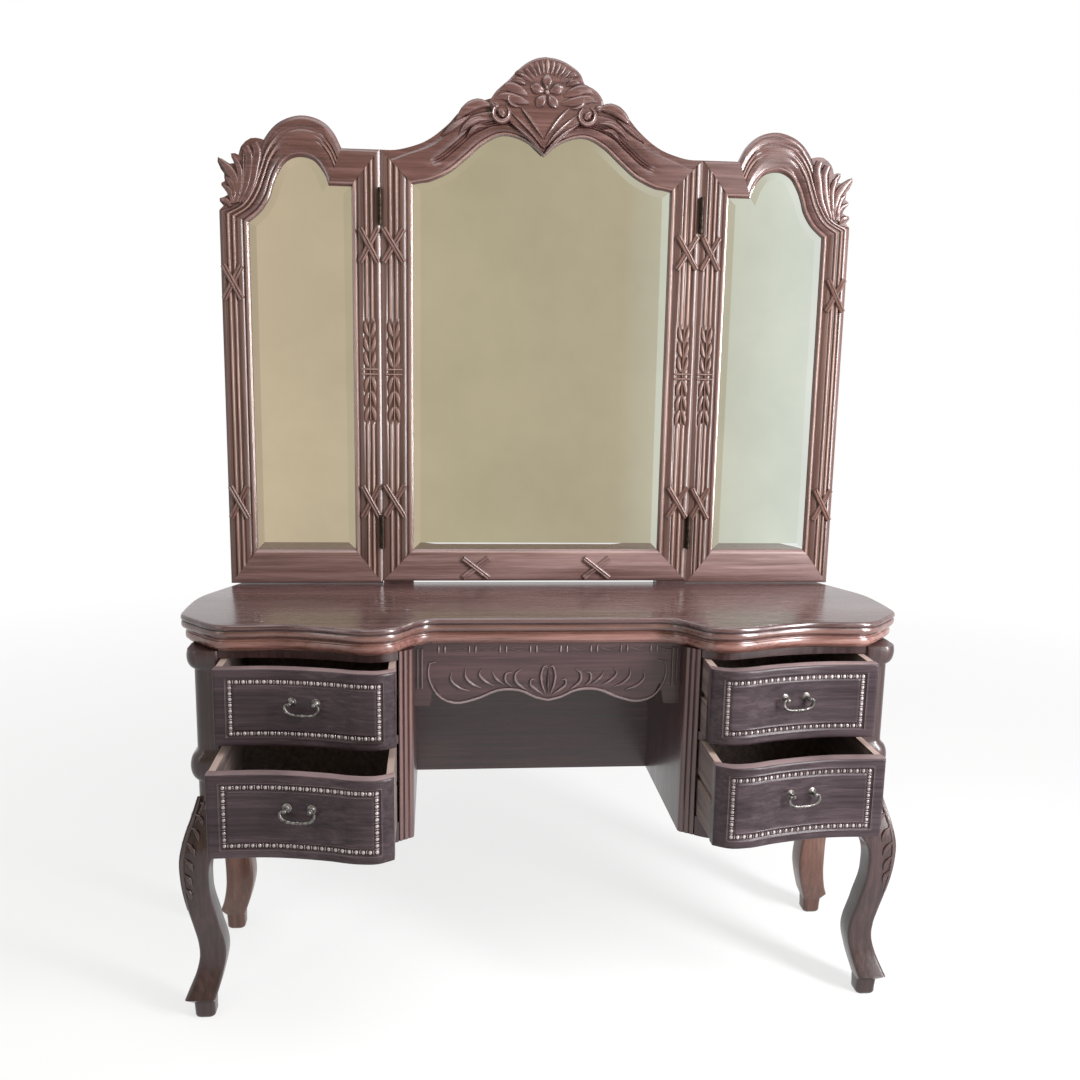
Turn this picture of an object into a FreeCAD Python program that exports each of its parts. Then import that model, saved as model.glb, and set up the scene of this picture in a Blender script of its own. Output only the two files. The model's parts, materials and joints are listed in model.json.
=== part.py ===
"""A dressing table on cabriole legs: two pedestals of drawers, a kneehole and a folding triple mirror.

Millimetres, +X to the right, +Y to the back, +Z up. The pieces are drawn about the front plane of the
mirror frame (y = 0) and the floor (z = 0); at the end all of them are moved together so that the origin
lies on the floor under the middle of the whole object.
"""
import FreeCAD
import Part
import math
import os
from FreeCAD import Vector

# Desk: overall sizes; inner_face_x is half the width of the kneehole
table_height = 780.0
top_half_width = 691.0
top_depth = 415.0
case_height = 370.0
inner_face_x = 255.0

# Table top and the moulding band under it; an edge is (height above the underside, setback) pairs
slab_thickness = 27.0
slab_edge = ((0.0, 9.0), (3.0, 3.0), (8.0, 0.0), (14.0, 0.0),
             (17.0, 3.0), (20.0, 3.5), (24.0, 6.5), (27.0, 12.0))
band_height = 25.0
band_inset = 8.0
band_width = 38.0
band_edge = ((0.0, 10.0), (6.0, 4.0), (12.0, 0.5), (18.0, 0.0), (22.0, 2.0), (25.0, 6.0))

# Outline of the top: its side is (share of the depth to the corner, setback) pairs, its front is
# (share of the pedestal's width, share of the lobe's reach) pairs
lobe_reach = 83.0
corner_inset = 79.0
corner_setback = 37.0
top_side_shape = ((0.0, 66.0), (0.185, 34.0), (0.354, 8.0), (0.587, 0.0), (0.772, 1.0))
top_front_shape = ((0.694, 0.494), (0.411, 0.783), (0.235, 1.0), (0.085, 0.807),
                   (-0.014, 0.253), (-0.119, 0.0))

# Pedestals; the case front bulges by case_bulge, at (share of the pedestal's width, share of the bulge)
inner_side_thickness = 28.0
top_overhang = 36.0
post_width = 47.0
post_depth = 60.0
post_chamfer = 20.0
case_setback = 62.0
case_bulge = 36.0
case_front_shape = ((0.0, 0.0), (0.08, 0.53), (0.17, 1.0), (0.255, 0.97), (0.41, 0.53),
                    (0.69, 0.0), (1.0, 0.0))
outer_side_thickness = 20.0
outer_side_setback = 7.0
panel_thickness = 12.0
rail_depth = 40.0
top_rail_height = 15.0
divider_height = 16.0
lower_opening_height = 155.5
bottom_rail_height = 39.0

# Legs; the S of a leg is (outwards from the middle of its pad, share of the height from pad to case) pairs
pad_half = 19.0
pad_height = 32.0
pad_flare = 1.0
front_foot_inset = 9.0
rear_foot_inset = 12.0
knee_rise = 82.0
leg_outer = ((34, 0.018), (25, 0.080), (14, 0.172), (9, 0.270), (10, 0.362), (16, 0.469), (25, 0.613),
             (32, 0.822), (31, 0.951), (17, 1.104))
leg_inner = ((-19, 0.0), (-34, 0.160), (-41, 0.276), (-30, 0.515), (-19, 0.730), (-24, 0.899))

# Kneehole apron; its scallops are (share of the half width, height above its lowest point) pairs
apron_setback = 20.0
apron_thickness = 18.0
apron_depth = 123.0
apron_bracket = 29.0
apron_scallop = ((0.851, 43), (0.792, 16), (0.682, 5), (0.537, 14), (0.333, 31), (0.188, 27))
apron_middle_rise = 9.0

# Drawers; an opening is how far the drawer stands out of the case at rest
drawer_gap = 1.5
box_inset = 2.0
front_thickness = 22.0
drawer_back_gap = 40.0
board_thickness = 12.0
bottom_thickness = 6.0
bottom_rise = 8.0
groove_height = 16.0
groove_depth = 6.0
runner_gap = 0.3
runner_tip_gap = 0.5
runner_end_gap = 4.0
runner_back_gap = 10.0
opening = {"upper_left": 70.0, "upper_right": 70.0, "lower_left": 160.0, "lower_right": 132.0}

# Pulls; the bail is (beyond the post, below the pivot) corners of its bent rod
pull_drop = 59.0
pull_half_span = 22.0
pull_reach = 15.0
pull_post_radius = 3.2
knob_radius = 4.5
rosette_radius = 8.5
rosette_height = 3.0
bail_radius = 2.0
bail_fit = 0.05
bail_end_inset = 1.0
bail_corners = ((7.5, 0.0), (8.0, -9.0), (1.5, -17.0), (-11.0, -19.5))
bail_bend = 3.3

# Mirror frames
frame_depth = 22.0
frame_lift = 6.0
frame_height = 804.0
centre_overhang = 70.0
centre_stile = 63.0
wing_gap = 4.0
wing_width = 314.0
wing_inner_stile = 55.0
wing_outer_stile = 56.0
rail_height = 68.0
shoulder_rise = 71.0
wing_outer_drop = 75.0
rebate_y = 10.0
rebate_width = 8.0
glass_gap = 0.5
glass_thickness = 4.0
backboard_thickness = 5.0

# Arched top of the centre frame: (share of the half width, height above the shoulder) pairs
centre_flat = 25.0
centre_outer_arch = ((0.785, 82), (0.695, 96), (0.594, 122), (0.492, 155), (0.4, 170))
centre_sight_arch = ((1.0, 7), (0.863, 14), (0.725, 31), (0.595, 58), (0.462, 88), (0.305, 106),
                     (0.172, 99), (0.076, 85))
centre_drop_rise = 68.0

# Carved crest: (distance from the middle, below its top) pairs, and how far it stands proud
crest_height = 255.0
crest_foot_height = 176.0
crest_half = 104.0
crest_rise = 16.0
crest_side = ((100, 66), (88, 54), (72, 39), (58, 25), (40, 9), (20, 2))
crest_relief = 10.0
crest_point = ((70, 123), (35, 147), (0, 173))

# Arched top of a wing: its arches by share of the sight width, its leaf by distance in from the outer
# edge, all with heights above the shoulder
wing_arch = ((0.09, 71), (0.163, 100), (0.276, 121), (0.448, 130), (0.62, 122), (0.793, 99))
wing_leaf_back = ((83, 85), (63, 86), (43, 73), (26, 52))
wing_leaf_notch = (32, 34)
wing_leaf_tip = ((1, 40), (9, 10), (7, -20), (0, -54))
wing_sight_arch = ((0.222, 0), (0.256, 20), (0.35, 45), (0.498, 53), (0.63, 42), (0.714, 17),
                   (0.793, -27), (0.877, -53))

# Battens and screws that hold the mirror to the desk
batten_inset = 9.0
batten_width = 40.0
batten_thickness = 22.0
batten_low_rise = 72.0
batten_high_drop = 90.0
screw_radius = 2.0
screw_clearance = 0.4
screw_head_radius = 4.5
screw_head_height = 2.5
screw_bite = 10.0
desk_screw_ends = (122.0, 38.0)
frame_screw_ends = (46.0, 130.0)

# Hinges
hinge_height = 72.0
hinge_low_rise = 3.0
hinge_high_drop = 74.0
leaf_thickness = 1.4
leaf_depth = 18.0
leaf_margin = 0.3
knuckle_radius = 4.0
knuckle_gap = 0.4
knuckle_stand_off = 0.5
pin_radius = 2.0
pin_fit = 0.05

# Heights worked out from the sizes above
slab_bottom = table_height - slab_thickness
case_top = slab_bottom - band_height
case_bottom = case_top - case_height
knee_top = case_bottom + knee_rise
divider_z = case_bottom + bottom_rail_height + lower_opening_height
top_rail_z = case_top - top_rail_height
levels = {"upper": (divider_z + divider_height, top_rail_z),
          "lower": (case_bottom + bottom_rail_height, divider_z)}
frame_bottom = table_height + frame_lift
sight_bottom = frame_bottom + rail_height
shoulder_z = frame_bottom + frame_height
shoulder_top = shoulder_z + shoulder_rise
wing_outer_top_z = shoulder_z - wing_outer_drop
crest_z = shoulder_z + crest_height
crest_foot_z = shoulder_z + crest_foot_height
hinge_z = (sight_bottom + hinge_low_rise, shoulder_z - hinge_high_drop)
desk_screw_z = (case_bottom + desk_screw_ends[0], case_top - desk_screw_ends[1])
low_screw_z = sight_bottom + frame_screw_ends[0]
high_screw_z = shoulder_z - frame_screw_ends[1]
frame_screw_z = (low_screw_z, (low_screw_z + high_screw_z) / 2, high_screw_z)

# Depths worked out from the sizes above
back_y = frame_depth
panel_y = back_y - panel_thickness
lobe_y = back_y - top_depth
kneehole_edge_y = lobe_y + lobe_reach
corner_y = lobe_y + corner_setback
case_front_y = lobe_y + case_setback
front_post_back = case_front_y + post_depth
rear_post_front = back_y - post_depth
apron_y = kneehole_edge_y + apron_setback
drawer_back_y = panel_y - drawer_back_gap
runner_back_y = panel_y - runner_back_gap
pin_y = -knuckle_radius - knuckle_stand_off

# Widths worked out from the sizes above
drawer_side_x = inner_face_x + inner_side_thickness
post_outer_x = top_half_width - top_overhang
post_x = post_outer_x - post_width
pedestal_width = post_x - inner_face_x
outer_side_x = post_outer_x - outer_side_setback - outer_side_thickness
batten_x = inner_face_x + batten_inset
centre_half = inner_face_x + centre_overhang
centre_sight = centre_half - centre_stile
wing_start = centre_half + wing_gap
wing_sight_in = wing_start + wing_inner_stile
wing_end = wing_start + wing_width
wing_sight_out = wing_end - wing_outer_stile
hinge_x = centre_half + wing_gap / 2
desk_screw_x = (batten_x + drawer_side_x) / 2
frame_screw_x = batten_x + batten_width / 2
far = 3000.0

parts = {}


# Small helpers for solids, outlines and groups
def block(x0, x1, y0, y1, z0, z1):
    return Part.makeBox(x1 - x0, y1 - y0, z1 - z0, Vector(x0, y0, z0))


def cylinder(radius, start, end):
    axis = end - start
    return Part.makeCylinder(radius, axis.Length, start, axis)


def spline(points, lead=None):
    """A smooth curve through the points; lead is its direction at both ends."""
    curve = Part.BSplineCurve()
    if lead is None:
        curve.interpolate(points)
    else:
        curve.interpolate(Points=points, InitialTangent=lead, FinalTangent=lead)
    return curve.toShape()


def lines(points):
    return [Part.LineSegment(a, b).toShape() for a, b in zip(points, points[1:])]


def face_of(edges):
    return Part.Face(Part.Wire(Part.__sortEdges__(edges)))


def plan(points, z=0.0):
    return [Vector(x, y, z) for x, y in points]


def elevation(points, y=0.0):
    return [Vector(x, y, z) for x, z in points]


def upright(edges, y0, y1):
    """A plate from an outline drawn in the plane y = 0."""
    plate = face_of(edges).extrude(Vector(0, y1 - y0, 0))
    plate.translate(Vector(0, y0, 0))
    return plate


def other_side(shape):
    return shape.mirror(Vector(0, 0, 0), Vector(1, 0, 0))


def on_both_sides(name, shape):
    """The right piece as drawn, and its mirror image on the left."""
    parts["right_" + name] = shape
    parts["left_" + name] = other_side(shape)


def moved_aside(points, distance):
    """An open line moved to the right of its direction, with mitred corners."""
    moved = []
    for i, (x, y) in enumerate(points):
        normals = []
        for a, b in ((i - 1, i), (i, i + 1)):
            if a >= 0 and b < len(points):
                dx = points[b][0] - points[a][0]
                dy = points[b][1] - points[a][1]
                length = math.hypot(dx, dy)
                normals.append((dy / length, -dx / length))
        nx = sum(n[0] for n in normals) / len(normals)
        ny = sum(n[1] for n in normals) / len(normals)
        scale = distance / (nx * nx + ny * ny)
        moved.append((x + nx * scale, y + ny * scale))
    return moved


# Table top and the band under it
def top_outline(z, inset=0.0, back_inset=0.0):
    """The kidney outline of the top: bowed sides, canted corners, two lobes and a straight kneehole edge."""
    side = [(top_half_width - setback, back_y + share * (corner_y - back_y))
            for share, setback in top_side_shape]
    front = [(top_half_width - corner_inset, corner_y)]
    front += [(inner_face_x + share * pedestal_width, kneehole_edge_y - reach * lobe_reach)
              for share, reach in top_front_shape]
    half = moved_aside(side + front + [(0, kneehole_edge_y)], inset)
    half[0] = (half[0][0], back_y - back_inset)
    corner = len(side)
    ends = []
    edges = []
    for sign in (1, -1):
        line = plan([(sign * x, y) for x, y in half], z)
        edges.append(spline(line[:corner]))
        edges += lines(line[corner - 1:corner + 1])
        edges.append(spline(line[corner:-1], Vector(-sign, 0, 0)))
        ends.append((line[0], line[-2]))
    (right_back, right_knee), (left_back, left_knee) = ends
    edges += lines([right_knee, left_knee]) + lines([left_back, right_back])
    return Part.Wire(Part.__sortEdges__(edges))


def moulded_plate(z, steps, inset):
    """A plate whose edge follows a moulding: one outline at each step of the moulding."""
    return Part.makeLoft([top_outline(z + height, inset + setback) for height, setback in steps], True, True)


def table_top():
    parts["table_top"] = moulded_plate(slab_bottom, slab_edge, 0.0)
    band = moulded_plate(case_top, band_edge, band_inset)
    hollow = Part.Face(top_outline(case_top, band_inset + band_width, band_width))
    parts["under_top_moulding"] = band.cut(hollow.extrude(Vector(0, 0, band_height)))


# Pedestal cases
def case_front_points(setback=0.0):
    return [(inner_face_x + share * pedestal_width, case_front_y - bulge * case_bulge + setback)
            for share, bulge in case_front_shape]


def case_front_curve():
    curve = Part.BSplineCurve()
    curve.interpolate(plan(case_front_points()))
    return curve


def behind_front(setback):
    """Everything behind the bowed case front, moved back by setback."""
    points = plan(case_front_points(setback))
    back = [Vector(post_x, back_y, 0), Vector(inner_face_x, back_y, 0)]
    edges = [spline(points)] + lines([points[-1]] + back + [points[0]])
    return face_of(edges).extrude(Vector(0, 0, table_height))


def front_board(setback, thickness, x0, x1, z0, z1):
    """A board that follows the bowed case front."""
    strip = behind_front(setback).cut(behind_front(setback + thickness))
    return strip.common(block(x0, x1, -far, back_y, z0, z1))


def pedestals():
    inner = behind_front(0.0).common(block(inner_face_x, drawer_side_x, -far, back_y, case_bottom, case_top))
    for z in desk_screw_z:
        inner = inner.cut(screw_hole(desk_screw_x, z))
    on_both_sides("inner_side", inner)
    on_both_sides("outer_side", block(outer_side_x, outer_side_x + outer_side_thickness,
                                      front_post_back, rear_post_front, case_bottom, case_top))
    rails = []
    rail_places = ((case_bottom, bottom_rail_height), (divider_z, divider_height),
                   (top_rail_z, top_rail_height))
    for z, height in rail_places:
        rails.append(front_board(0.0, rail_depth, drawer_side_x, post_x, z, z + height))
    on_both_sides("front_rails", Part.Compound(rails))

    floor_top = case_bottom + panel_thickness
    floor = block(drawer_side_x, post_x, -far, back_y, case_bottom, floor_top)
    floor = floor.common(behind_front(rail_depth))
    strip = block(post_x, outer_side_x, front_post_back, rear_post_front, case_bottom, floor_top)
    floor = floor.fuse(strip).removeSplitter()
    parts["pedestal_bottoms"] = Part.Compound([floor, other_side(floor)])
    back = block(drawer_side_x, post_x, panel_y, back_y, floor_top, case_top)
    knee_back = block(-inner_face_x, inner_face_x, panel_y, back_y, case_bottom, case_top)
    parts["back_panels"] = Part.Compound([back, knee_back, other_side(back)])


# Legs: each is one piece with the post above it, sawn to the same S from the front and from the side
def leg_outline(centre, outward, post_outside, post_inside, place):
    def at(offset, z):
        return place(centre + outward * offset, z)

    def swept(shape):
        return [at(offset, pad_height + share * (case_bottom - pad_height)) for offset, share in shape]

    outer = swept(leg_outer) + [place(post_outside, knee_top)]
    inner = swept(leg_inner) + [place(post_inside, case_bottom)]
    pad = [inner[0], at(-pad_half, 0), at(pad_half, 0), at(pad_half + pad_flare, pad_height), outer[0]]
    post = [outer[-1], place(post_outside, case_top), place(post_inside, case_top), inner[-1]]
    return face_of([spline(outer), spline(inner)] + lines(pad) + lines(post))


def leg(foot_y, outward_y, post_outside_y, post_inside_y):
    from_front = leg_outline(post_outer_x, 1, post_outer_x, post_x, lambda u, z: Vector(u, -far, z))
    from_side = leg_outline(foot_y, outward_y, post_outside_y, post_inside_y, lambda u, z: Vector(-far, u, z))
    return from_front.extrude(Vector(0, 2 * far, 0)).common(from_side.extrude(Vector(2 * far, 0, 0)))


def legs():
    front = leg(case_front_y + front_foot_inset, -1, case_front_y, front_post_back)
    corner = plan([(post_outer_x, case_front_y), (post_outer_x - post_chamfer, case_front_y),
                   (post_outer_x, case_front_y + post_chamfer), (post_outer_x, case_front_y)], knee_top)
    front = front.cut(face_of(lines(corner)).extrude(Vector(0, 0, case_top - knee_top)))
    rear = leg(back_y - rear_foot_inset, 1, back_y, rear_post_front)
    for end, shape in (("front", front), ("rear", rear)):
        parts[end + "_right_leg"] = shape
        parts[end + "_left_leg"] = other_side(shape)


# Scalloped apron over the kneehole
def apron():
    low = case_top - apron_depth
    half = [(share * inner_face_x, low + rise) for share, rise in apron_scallop]
    scallop = elevation(half + [(0, low + apron_middle_rise)] + [(-x, z) for x, z in reversed(half)])
    ends = []
    for sign, end in ((1, scallop[0]), (-1, scallop[-1])):
        ends.append(elevation([(sign * inner_face_x, case_top), (sign * inner_face_x, low),
                               (sign * (inner_face_x - apron_bracket), low)]) + [end])
    edges = [spline(scallop)] + lines(ends[0]) + lines(ends[1]) + lines([ends[0][0], ends[1][0]])
    parts["kneehole_apron"] = upright(edges, apron_y, apron_y + apron_thickness)


# Drawers and the wooden runners they hang on
def drawer_faces():
    return drawer_side_x + drawer_gap, post_x - drawer_gap


def groove_span(z0, z1):
    middle = (z0 + z1) / 2
    return middle - groove_height / 2, middle + groove_height / 2


def drawer_box(x0, x1, z0, z1):
    left, right = x0 + box_inset, x1 - box_inset
    low, high = groove_span(z0, z1)
    inside = behind_front(front_thickness)
    sides = []
    for outer, inner in ((left, left + board_thickness), (right, right - board_thickness)):
        side = block(min(outer, inner), max(outer, inner), -far, drawer_back_y, z0, z1).common(inside)
        groove_end = outer + math.copysign(groove_depth, inner - outer)
        sides.append(side.cut(block(min(outer, groove_end), max(outer, groove_end), -far, far, low, high)))
    left, right = left + board_thickness, right - board_thickness
    back = block(left, right, drawer_back_y - board_thickness, drawer_back_y, z0, z1)
    bottom = block(left, right, -far, drawer_back_y - board_thickness, z0 + bottom_rise,
                   z0 + bottom_rise + bottom_thickness).common(inside)
    return Part.Compound(sides + [back, bottom])


def bent_rod(points, bend, radius):
    """A round rod along straight runs joined by tangent arcs."""
    edges = []
    start = points[0]
    for before, corner, after in zip(points, points[1:], points[2:]):
        into = (corner - before).normalize()
        out = (after - corner).normalize()
        turn = into.getAngle(out)
        trim = bend * math.tan(turn / 2)
        first = corner - into * trim
        last = corner + out * trim
        middle = corner + (out - into).normalize() * bend * (1 / math.cos(turn / 2) - 1)
        edges.append(Part.LineSegment(start, first).toShape())
        edges.append(Part.Arc(first, middle, last).toShape())
        start = last
    edges.append(Part.LineSegment(start, points[-1]).toShape())
    heading = points[1] - points[0]
    section = Part.Wire(Part.makeCircle(radius, points[0], heading))
    return Part.Wire(edges).makePipeShell([section], True, False)


def pull():
    """Two knobbed posts and the bail between them, about the pivot line; -Y faces out of the drawer."""
    hole = cylinder(bail_radius + bail_fit, Vector(-far, 0, 0), Vector(far, 0, 0))
    neck = math.sqrt(knob_radius ** 2 - pull_post_radius ** 2)
    base, lip = pull_reach + rosette_height, pull_reach - rosette_height
    turned = [(0, -knob_radius), (0, base), (rosette_radius, base), (rosette_radius, (pull_reach + lip) / 2),
              (pull_post_radius, lip), (pull_post_radius, neck)]
    outline = plan(turned)
    knob = Part.Arc(outline[-1], Vector(knob_radius, 0, 0), outline[0]).toShape()
    post = face_of(lines(outline) + [knob]).revolve(Vector(0, 0, 0), Vector(0, 1, 0), 360)
    posts = []
    for x in (-pull_half_span, pull_half_span):
        copy = post.copy()
        copy.translate(Vector(x, 0, 0))
        posts.append(copy.cut(hole))
    bail_end = pull_half_span - knob_radius + bail_end_inset
    right = [(bail_end, 0)] + [(pull_half_span + x, z) for x, z in bail_corners]
    route = elevation(right + [(-x, z) for x, z in reversed(right)])
    return posts, bent_rod(route, bail_bend, bail_radius)


def pull_place(x0, x1, z1):
    """Where the pull's pivot line lies on a closed right-hand drawer, and the way the front faces there."""
    curve = case_front_curve()
    at = curve.parameter(Vector((x0 + x1) / 2, case_front_y, 0))
    spot = curve.value(at)
    along = Vector(*curve.tangent(at)[0])
    angle = math.degrees(math.atan2(along.y, along.x))
    outward = Vector(along.y, -along.x, 0)
    return spot + outward * pull_reach + Vector(0, 0, z1 - pull_drop), angle


def drawers():
    x0, x1 = drawer_faces()
    for level, (low, high) in levels.items():
        z0, z1 = low + drawer_gap, high - drawer_gap
        front = front_board(0.0, front_thickness, x0, x1, z0, z1)
        spot, angle = pull_place(x0, x1, z1)
        posts, bail = pull()
        for solid in posts + [bail]:
            solid.rotate(Vector(0, 0, 0), Vector(0, 0, 1), angle)
            solid.translate(spot)
        seated = [post.cut(front) for post in posts]
        pieces = {"drawer_front": front, "drawer_box": drawer_box(x0, x1, z0, z1),
                  "pull_posts": Part.Compound(seated), "bail": bail}
        for side in ("left", "right"):
            slide = Vector(0, -opening[level + "_" + side], 0)
            for name, shape in pieces.items():
                copy = shape.copy() if side == "right" else other_side(shape)
                copy.translate(slide)
                parts[level + "_" + side + "_" + name] = copy


def runners():
    x0, x1 = drawer_faces()
    reach = box_inset + groove_depth - runner_tip_gap
    track = behind_front(front_thickness + runner_end_gap)
    solids = []
    for low, high in levels.values():
        z0, z1 = groove_span(low + drawer_gap, high - drawer_gap)
        for a, b in ((drawer_side_x, x0 + reach), (x1 - reach, post_x)):
            bar = block(a, b, -far, runner_back_y, z0 + runner_gap, z1 - runner_gap)
            solids.append(bar.common(track))
    parts["drawer_runners"] = Part.Compound(solids + [other_side(bar) for bar in solids])


# Centre frame of the mirror
def centre_sight_line():
    arch = [(share * centre_sight, shoulder_z + rise) for share, rise in centre_sight_arch]
    left = [(-centre_sight, sight_bottom)] + [(-x, z) for x, z in arch]
    return left + [(0, shoulder_z + centre_drop_rise)] + list(reversed(arch)) + [(centre_sight, sight_bottom)]


def centre_pane(margin, y0, y1):
    """A plate of the sight's shape, larger by margin all round."""
    line = moved_aside(centre_sight_line(), -margin)
    line[0] = (line[0][0], sight_bottom - margin)
    line[-1] = (line[-1][0], sight_bottom - margin)
    points = elevation(line)
    middle = len(points) // 2
    edges = lines(points[:2]) + [spline(points[1:middle + 1]), spline(points[middle:-1])]
    return upright(edges + lines(points[-2:]) + lines([points[-1], points[0]]), y0, y1)


def centre_rail_top():
    return [(crest_half, crest_foot_z), (0, crest_foot_z + crest_rise), (-crest_half, crest_foot_z)]


def centre_top_rail():
    arch = [(share * centre_half, shoulder_z + rise) for share, rise in centre_outer_arch]
    right = [(centre_half - centre_flat, shoulder_top)] + arch + [(crest_half, crest_foot_z)]
    sight = elevation(centre_sight_line())
    middle = len(sight) // 2
    edges = [spline(elevation(centre_rail_top())), spline(sight[1:middle + 1]), spline(sight[middle:-1])]
    for sign, end in ((1, sight[-2]), (-1, sight[1])):
        line = elevation([(sign * x, z) for x, z in right])
        edges.append(spline(line))
        edges += lines(elevation([(sign * centre_sight, shoulder_z), (sign * centre_half, shoulder_z),
                                  (sign * centre_half, shoulder_top)]) + [line[0]])
        edges += lines(elevation([(sign * centre_sight, shoulder_z)]) + [end])
    return upright(edges, 0, frame_depth)


def centre_crest():
    side = [(x, crest_z - drop) for x, drop in crest_side]
    top = [(crest_half, crest_foot_z)] + side + [(0, crest_z)]
    top += [(-x, z) for x, z in reversed(top[:-1])]
    silhouette = spline(elevation(top))
    board = upright([silhouette, spline(elevation(centre_rail_top()))], 0, frame_depth)
    point = [(crest_half, crest_foot_z)] + [(x, crest_z - drop) for x, drop in crest_point]
    point = elevation(point + [(-x, z) for x, z in reversed(point[:-1])])
    middle = len(point) // 2
    carving = upright([silhouette, spline(point[:middle + 1]), spline(point[middle:])], -crest_relief, 0)
    return board.fuse(carving).removeSplitter()


def centre_frame():
    rebate = centre_pane(rebate_width, rebate_y, frame_depth)
    stile = block(centre_sight, centre_half, 0, frame_depth, frame_bottom, shoulder_z).cut(rebate)
    for z in frame_screw_z:
        stile = stile.cut(screw_hole(frame_screw_x, z))
    parts["centre_right_stile"] = stile
    parts["centre_left_stile"] = other_side(stile)
    rail = block(-centre_sight, centre_sight, 0, frame_depth, frame_bottom, sight_bottom)
    parts["centre_bottom_rail"] = rail.cut(rebate)
    parts["centre_top_rail"] = centre_top_rail().cut(rebate)
    parts["centre_crest"] = centre_crest()
    margin = rebate_width - glass_gap
    glass_back = rebate_y + glass_thickness
    parts["centre_mirror_glass"] = centre_pane(margin, rebate_y, glass_back)
    parts["centre_backboard"] = centre_pane(margin, glass_back, glass_back + backboard_thickness)
    foot = block(centre_sight, centre_half, 0, frame_depth, table_height, frame_bottom)
    parts["mirror_foot_blocks"] = Part.Compound([foot, other_side(foot)])


# Wings of the mirror, drawn on the right
def wing_x(share):
    return wing_sight_in + share * (wing_sight_out - wing_sight_in)


def wing_sight_line():
    arch = [(wing_x(share), shoulder_z + rise) for share, rise in wing_sight_arch]
    return ([(wing_sight_in, sight_bottom), (wing_sight_in, shoulder_z)] + arch
            + [(wing_sight_out, wing_outer_top_z), (wing_sight_out, sight_bottom)])


def wing_pane(margin, y0, y1):
    line = moved_aside(wing_sight_line(), -margin)
    line[0] = (line[0][0], sight_bottom - margin)
    line[-1] = (line[-1][0], sight_bottom - margin)
    points = elevation(line)
    edges = lines(points[:3]) + [spline(points[2:-1])] + lines(points[-2:]) + lines([points[-1], points[0]])
    return upright(edges, y0, y1)


def wing_top_rail():
    arch = [(wing_x(share), shoulder_z + rise) for share, rise in wing_arch]
    back = [(wing_end - inwards, shoulder_z + rise) for inwards, rise in wing_leaf_back]
    tip = [(wing_end - inwards, shoulder_z + rise) for inwards, rise in wing_leaf_tip]
    notch = (wing_end - wing_leaf_notch[0], shoulder_z + wing_leaf_notch[1])
    sight = elevation(wing_sight_line())
    edges = [spline(elevation(outline)) for outline in (arch + back[:1], back, tip)]
    edges.append(spline(sight[2:-1]))
    edges += lines(elevation([back[-1], notch, tip[0]]))
    edges += lines(elevation([tip[-1], (wing_end, wing_outer_top_z)]) + [sight[-2]])
    edges += lines(elevation([arch[0], (wing_start, shoulder_top), (wing_start, shoulder_z)]) + [sight[2]])
    return upright(edges, 0, frame_depth)


def wings():
    rebate = wing_pane(rebate_width, rebate_y, frame_depth)
    inner = block(wing_start, wing_sight_in, 0, frame_depth, frame_bottom, shoulder_z)
    outer = block(wing_sight_out, wing_end, 0, frame_depth, frame_bottom, wing_outer_top_z)
    rail = block(wing_sight_in, wing_sight_out, 0, frame_depth, frame_bottom, sight_bottom)
    margin = rebate_width - glass_gap
    glass_back = rebate_y + glass_thickness
    on_both_sides("wing_inner_stile", inner.cut(rebate))
    on_both_sides("wing_outer_stile", outer.cut(rebate))
    on_both_sides("wing_bottom_rail", rail.cut(rebate))
    on_both_sides("wing_top_rail", wing_top_rail().cut(rebate))
    on_both_sides("wing_mirror_glass", wing_pane(margin, rebate_y, glass_back))
    on_both_sides("wing_backboard", wing_pane(margin, glass_back, glass_back + backboard_thickness))


# Butt hinges between the centre frame and the wings
def upright_rod(radius, z0, z1):
    """A rod on the hinge line."""
    return cylinder(radius, Vector(hinge_x, pin_y, z0), Vector(hinge_x, pin_y, z1))


def hinge_leaf(z, x0, knuckles):
    """A plate in the gap beside the frame, with its share of the knuckles in front."""
    x1 = x0 + leaf_thickness
    leaf = block(x0, x1, leaf_margin, leaf_depth, z, z + hinge_height)
    for low, high in knuckles:
        leaf = leaf.fuse(block(x0, x1, pin_y, leaf_margin, z + low, z + high))
        leaf = leaf.fuse(upright_rod(knuckle_radius, z + low, z + high))
    return leaf.cut(upright_rod(pin_radius + pin_fit, z, z + hinge_height)).removeSplitter()


def hinges():
    third = hinge_height / 3
    outer_knuckles = ((0, third - knuckle_gap / 2), (2 * third + knuckle_gap / 2, hinge_height))
    middle_knuckle = ((third + knuckle_gap / 2, 2 * third - knuckle_gap / 2),)
    fixed = [hinge_leaf(z, centre_half, outer_knuckles) for z in hinge_z]
    swinging = [hinge_leaf(z, wing_start - leaf_thickness, middle_knuckle) for z in hinge_z]
    pins = [upright_rod(pin_radius, z, z + hinge_height) for z in hinge_z]
    on_both_sides("hinge_leaves", Part.Compound(swinging))
    parts["hinge_fixed_leaves"] = Part.Compound(fixed + [other_side(leaf) for leaf in fixed])
    parts["hinge_pins"] = Part.Compound(pins + [other_side(pin) for pin in pins])


# Battens behind, screwed to the desk and to the centre frame
def screw_hole(x, z):
    reach = Vector(x, back_y - screw_bite, z)
    return cylinder(screw_radius + screw_clearance, reach, Vector(x, back_y + batten_thickness, z))


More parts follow.
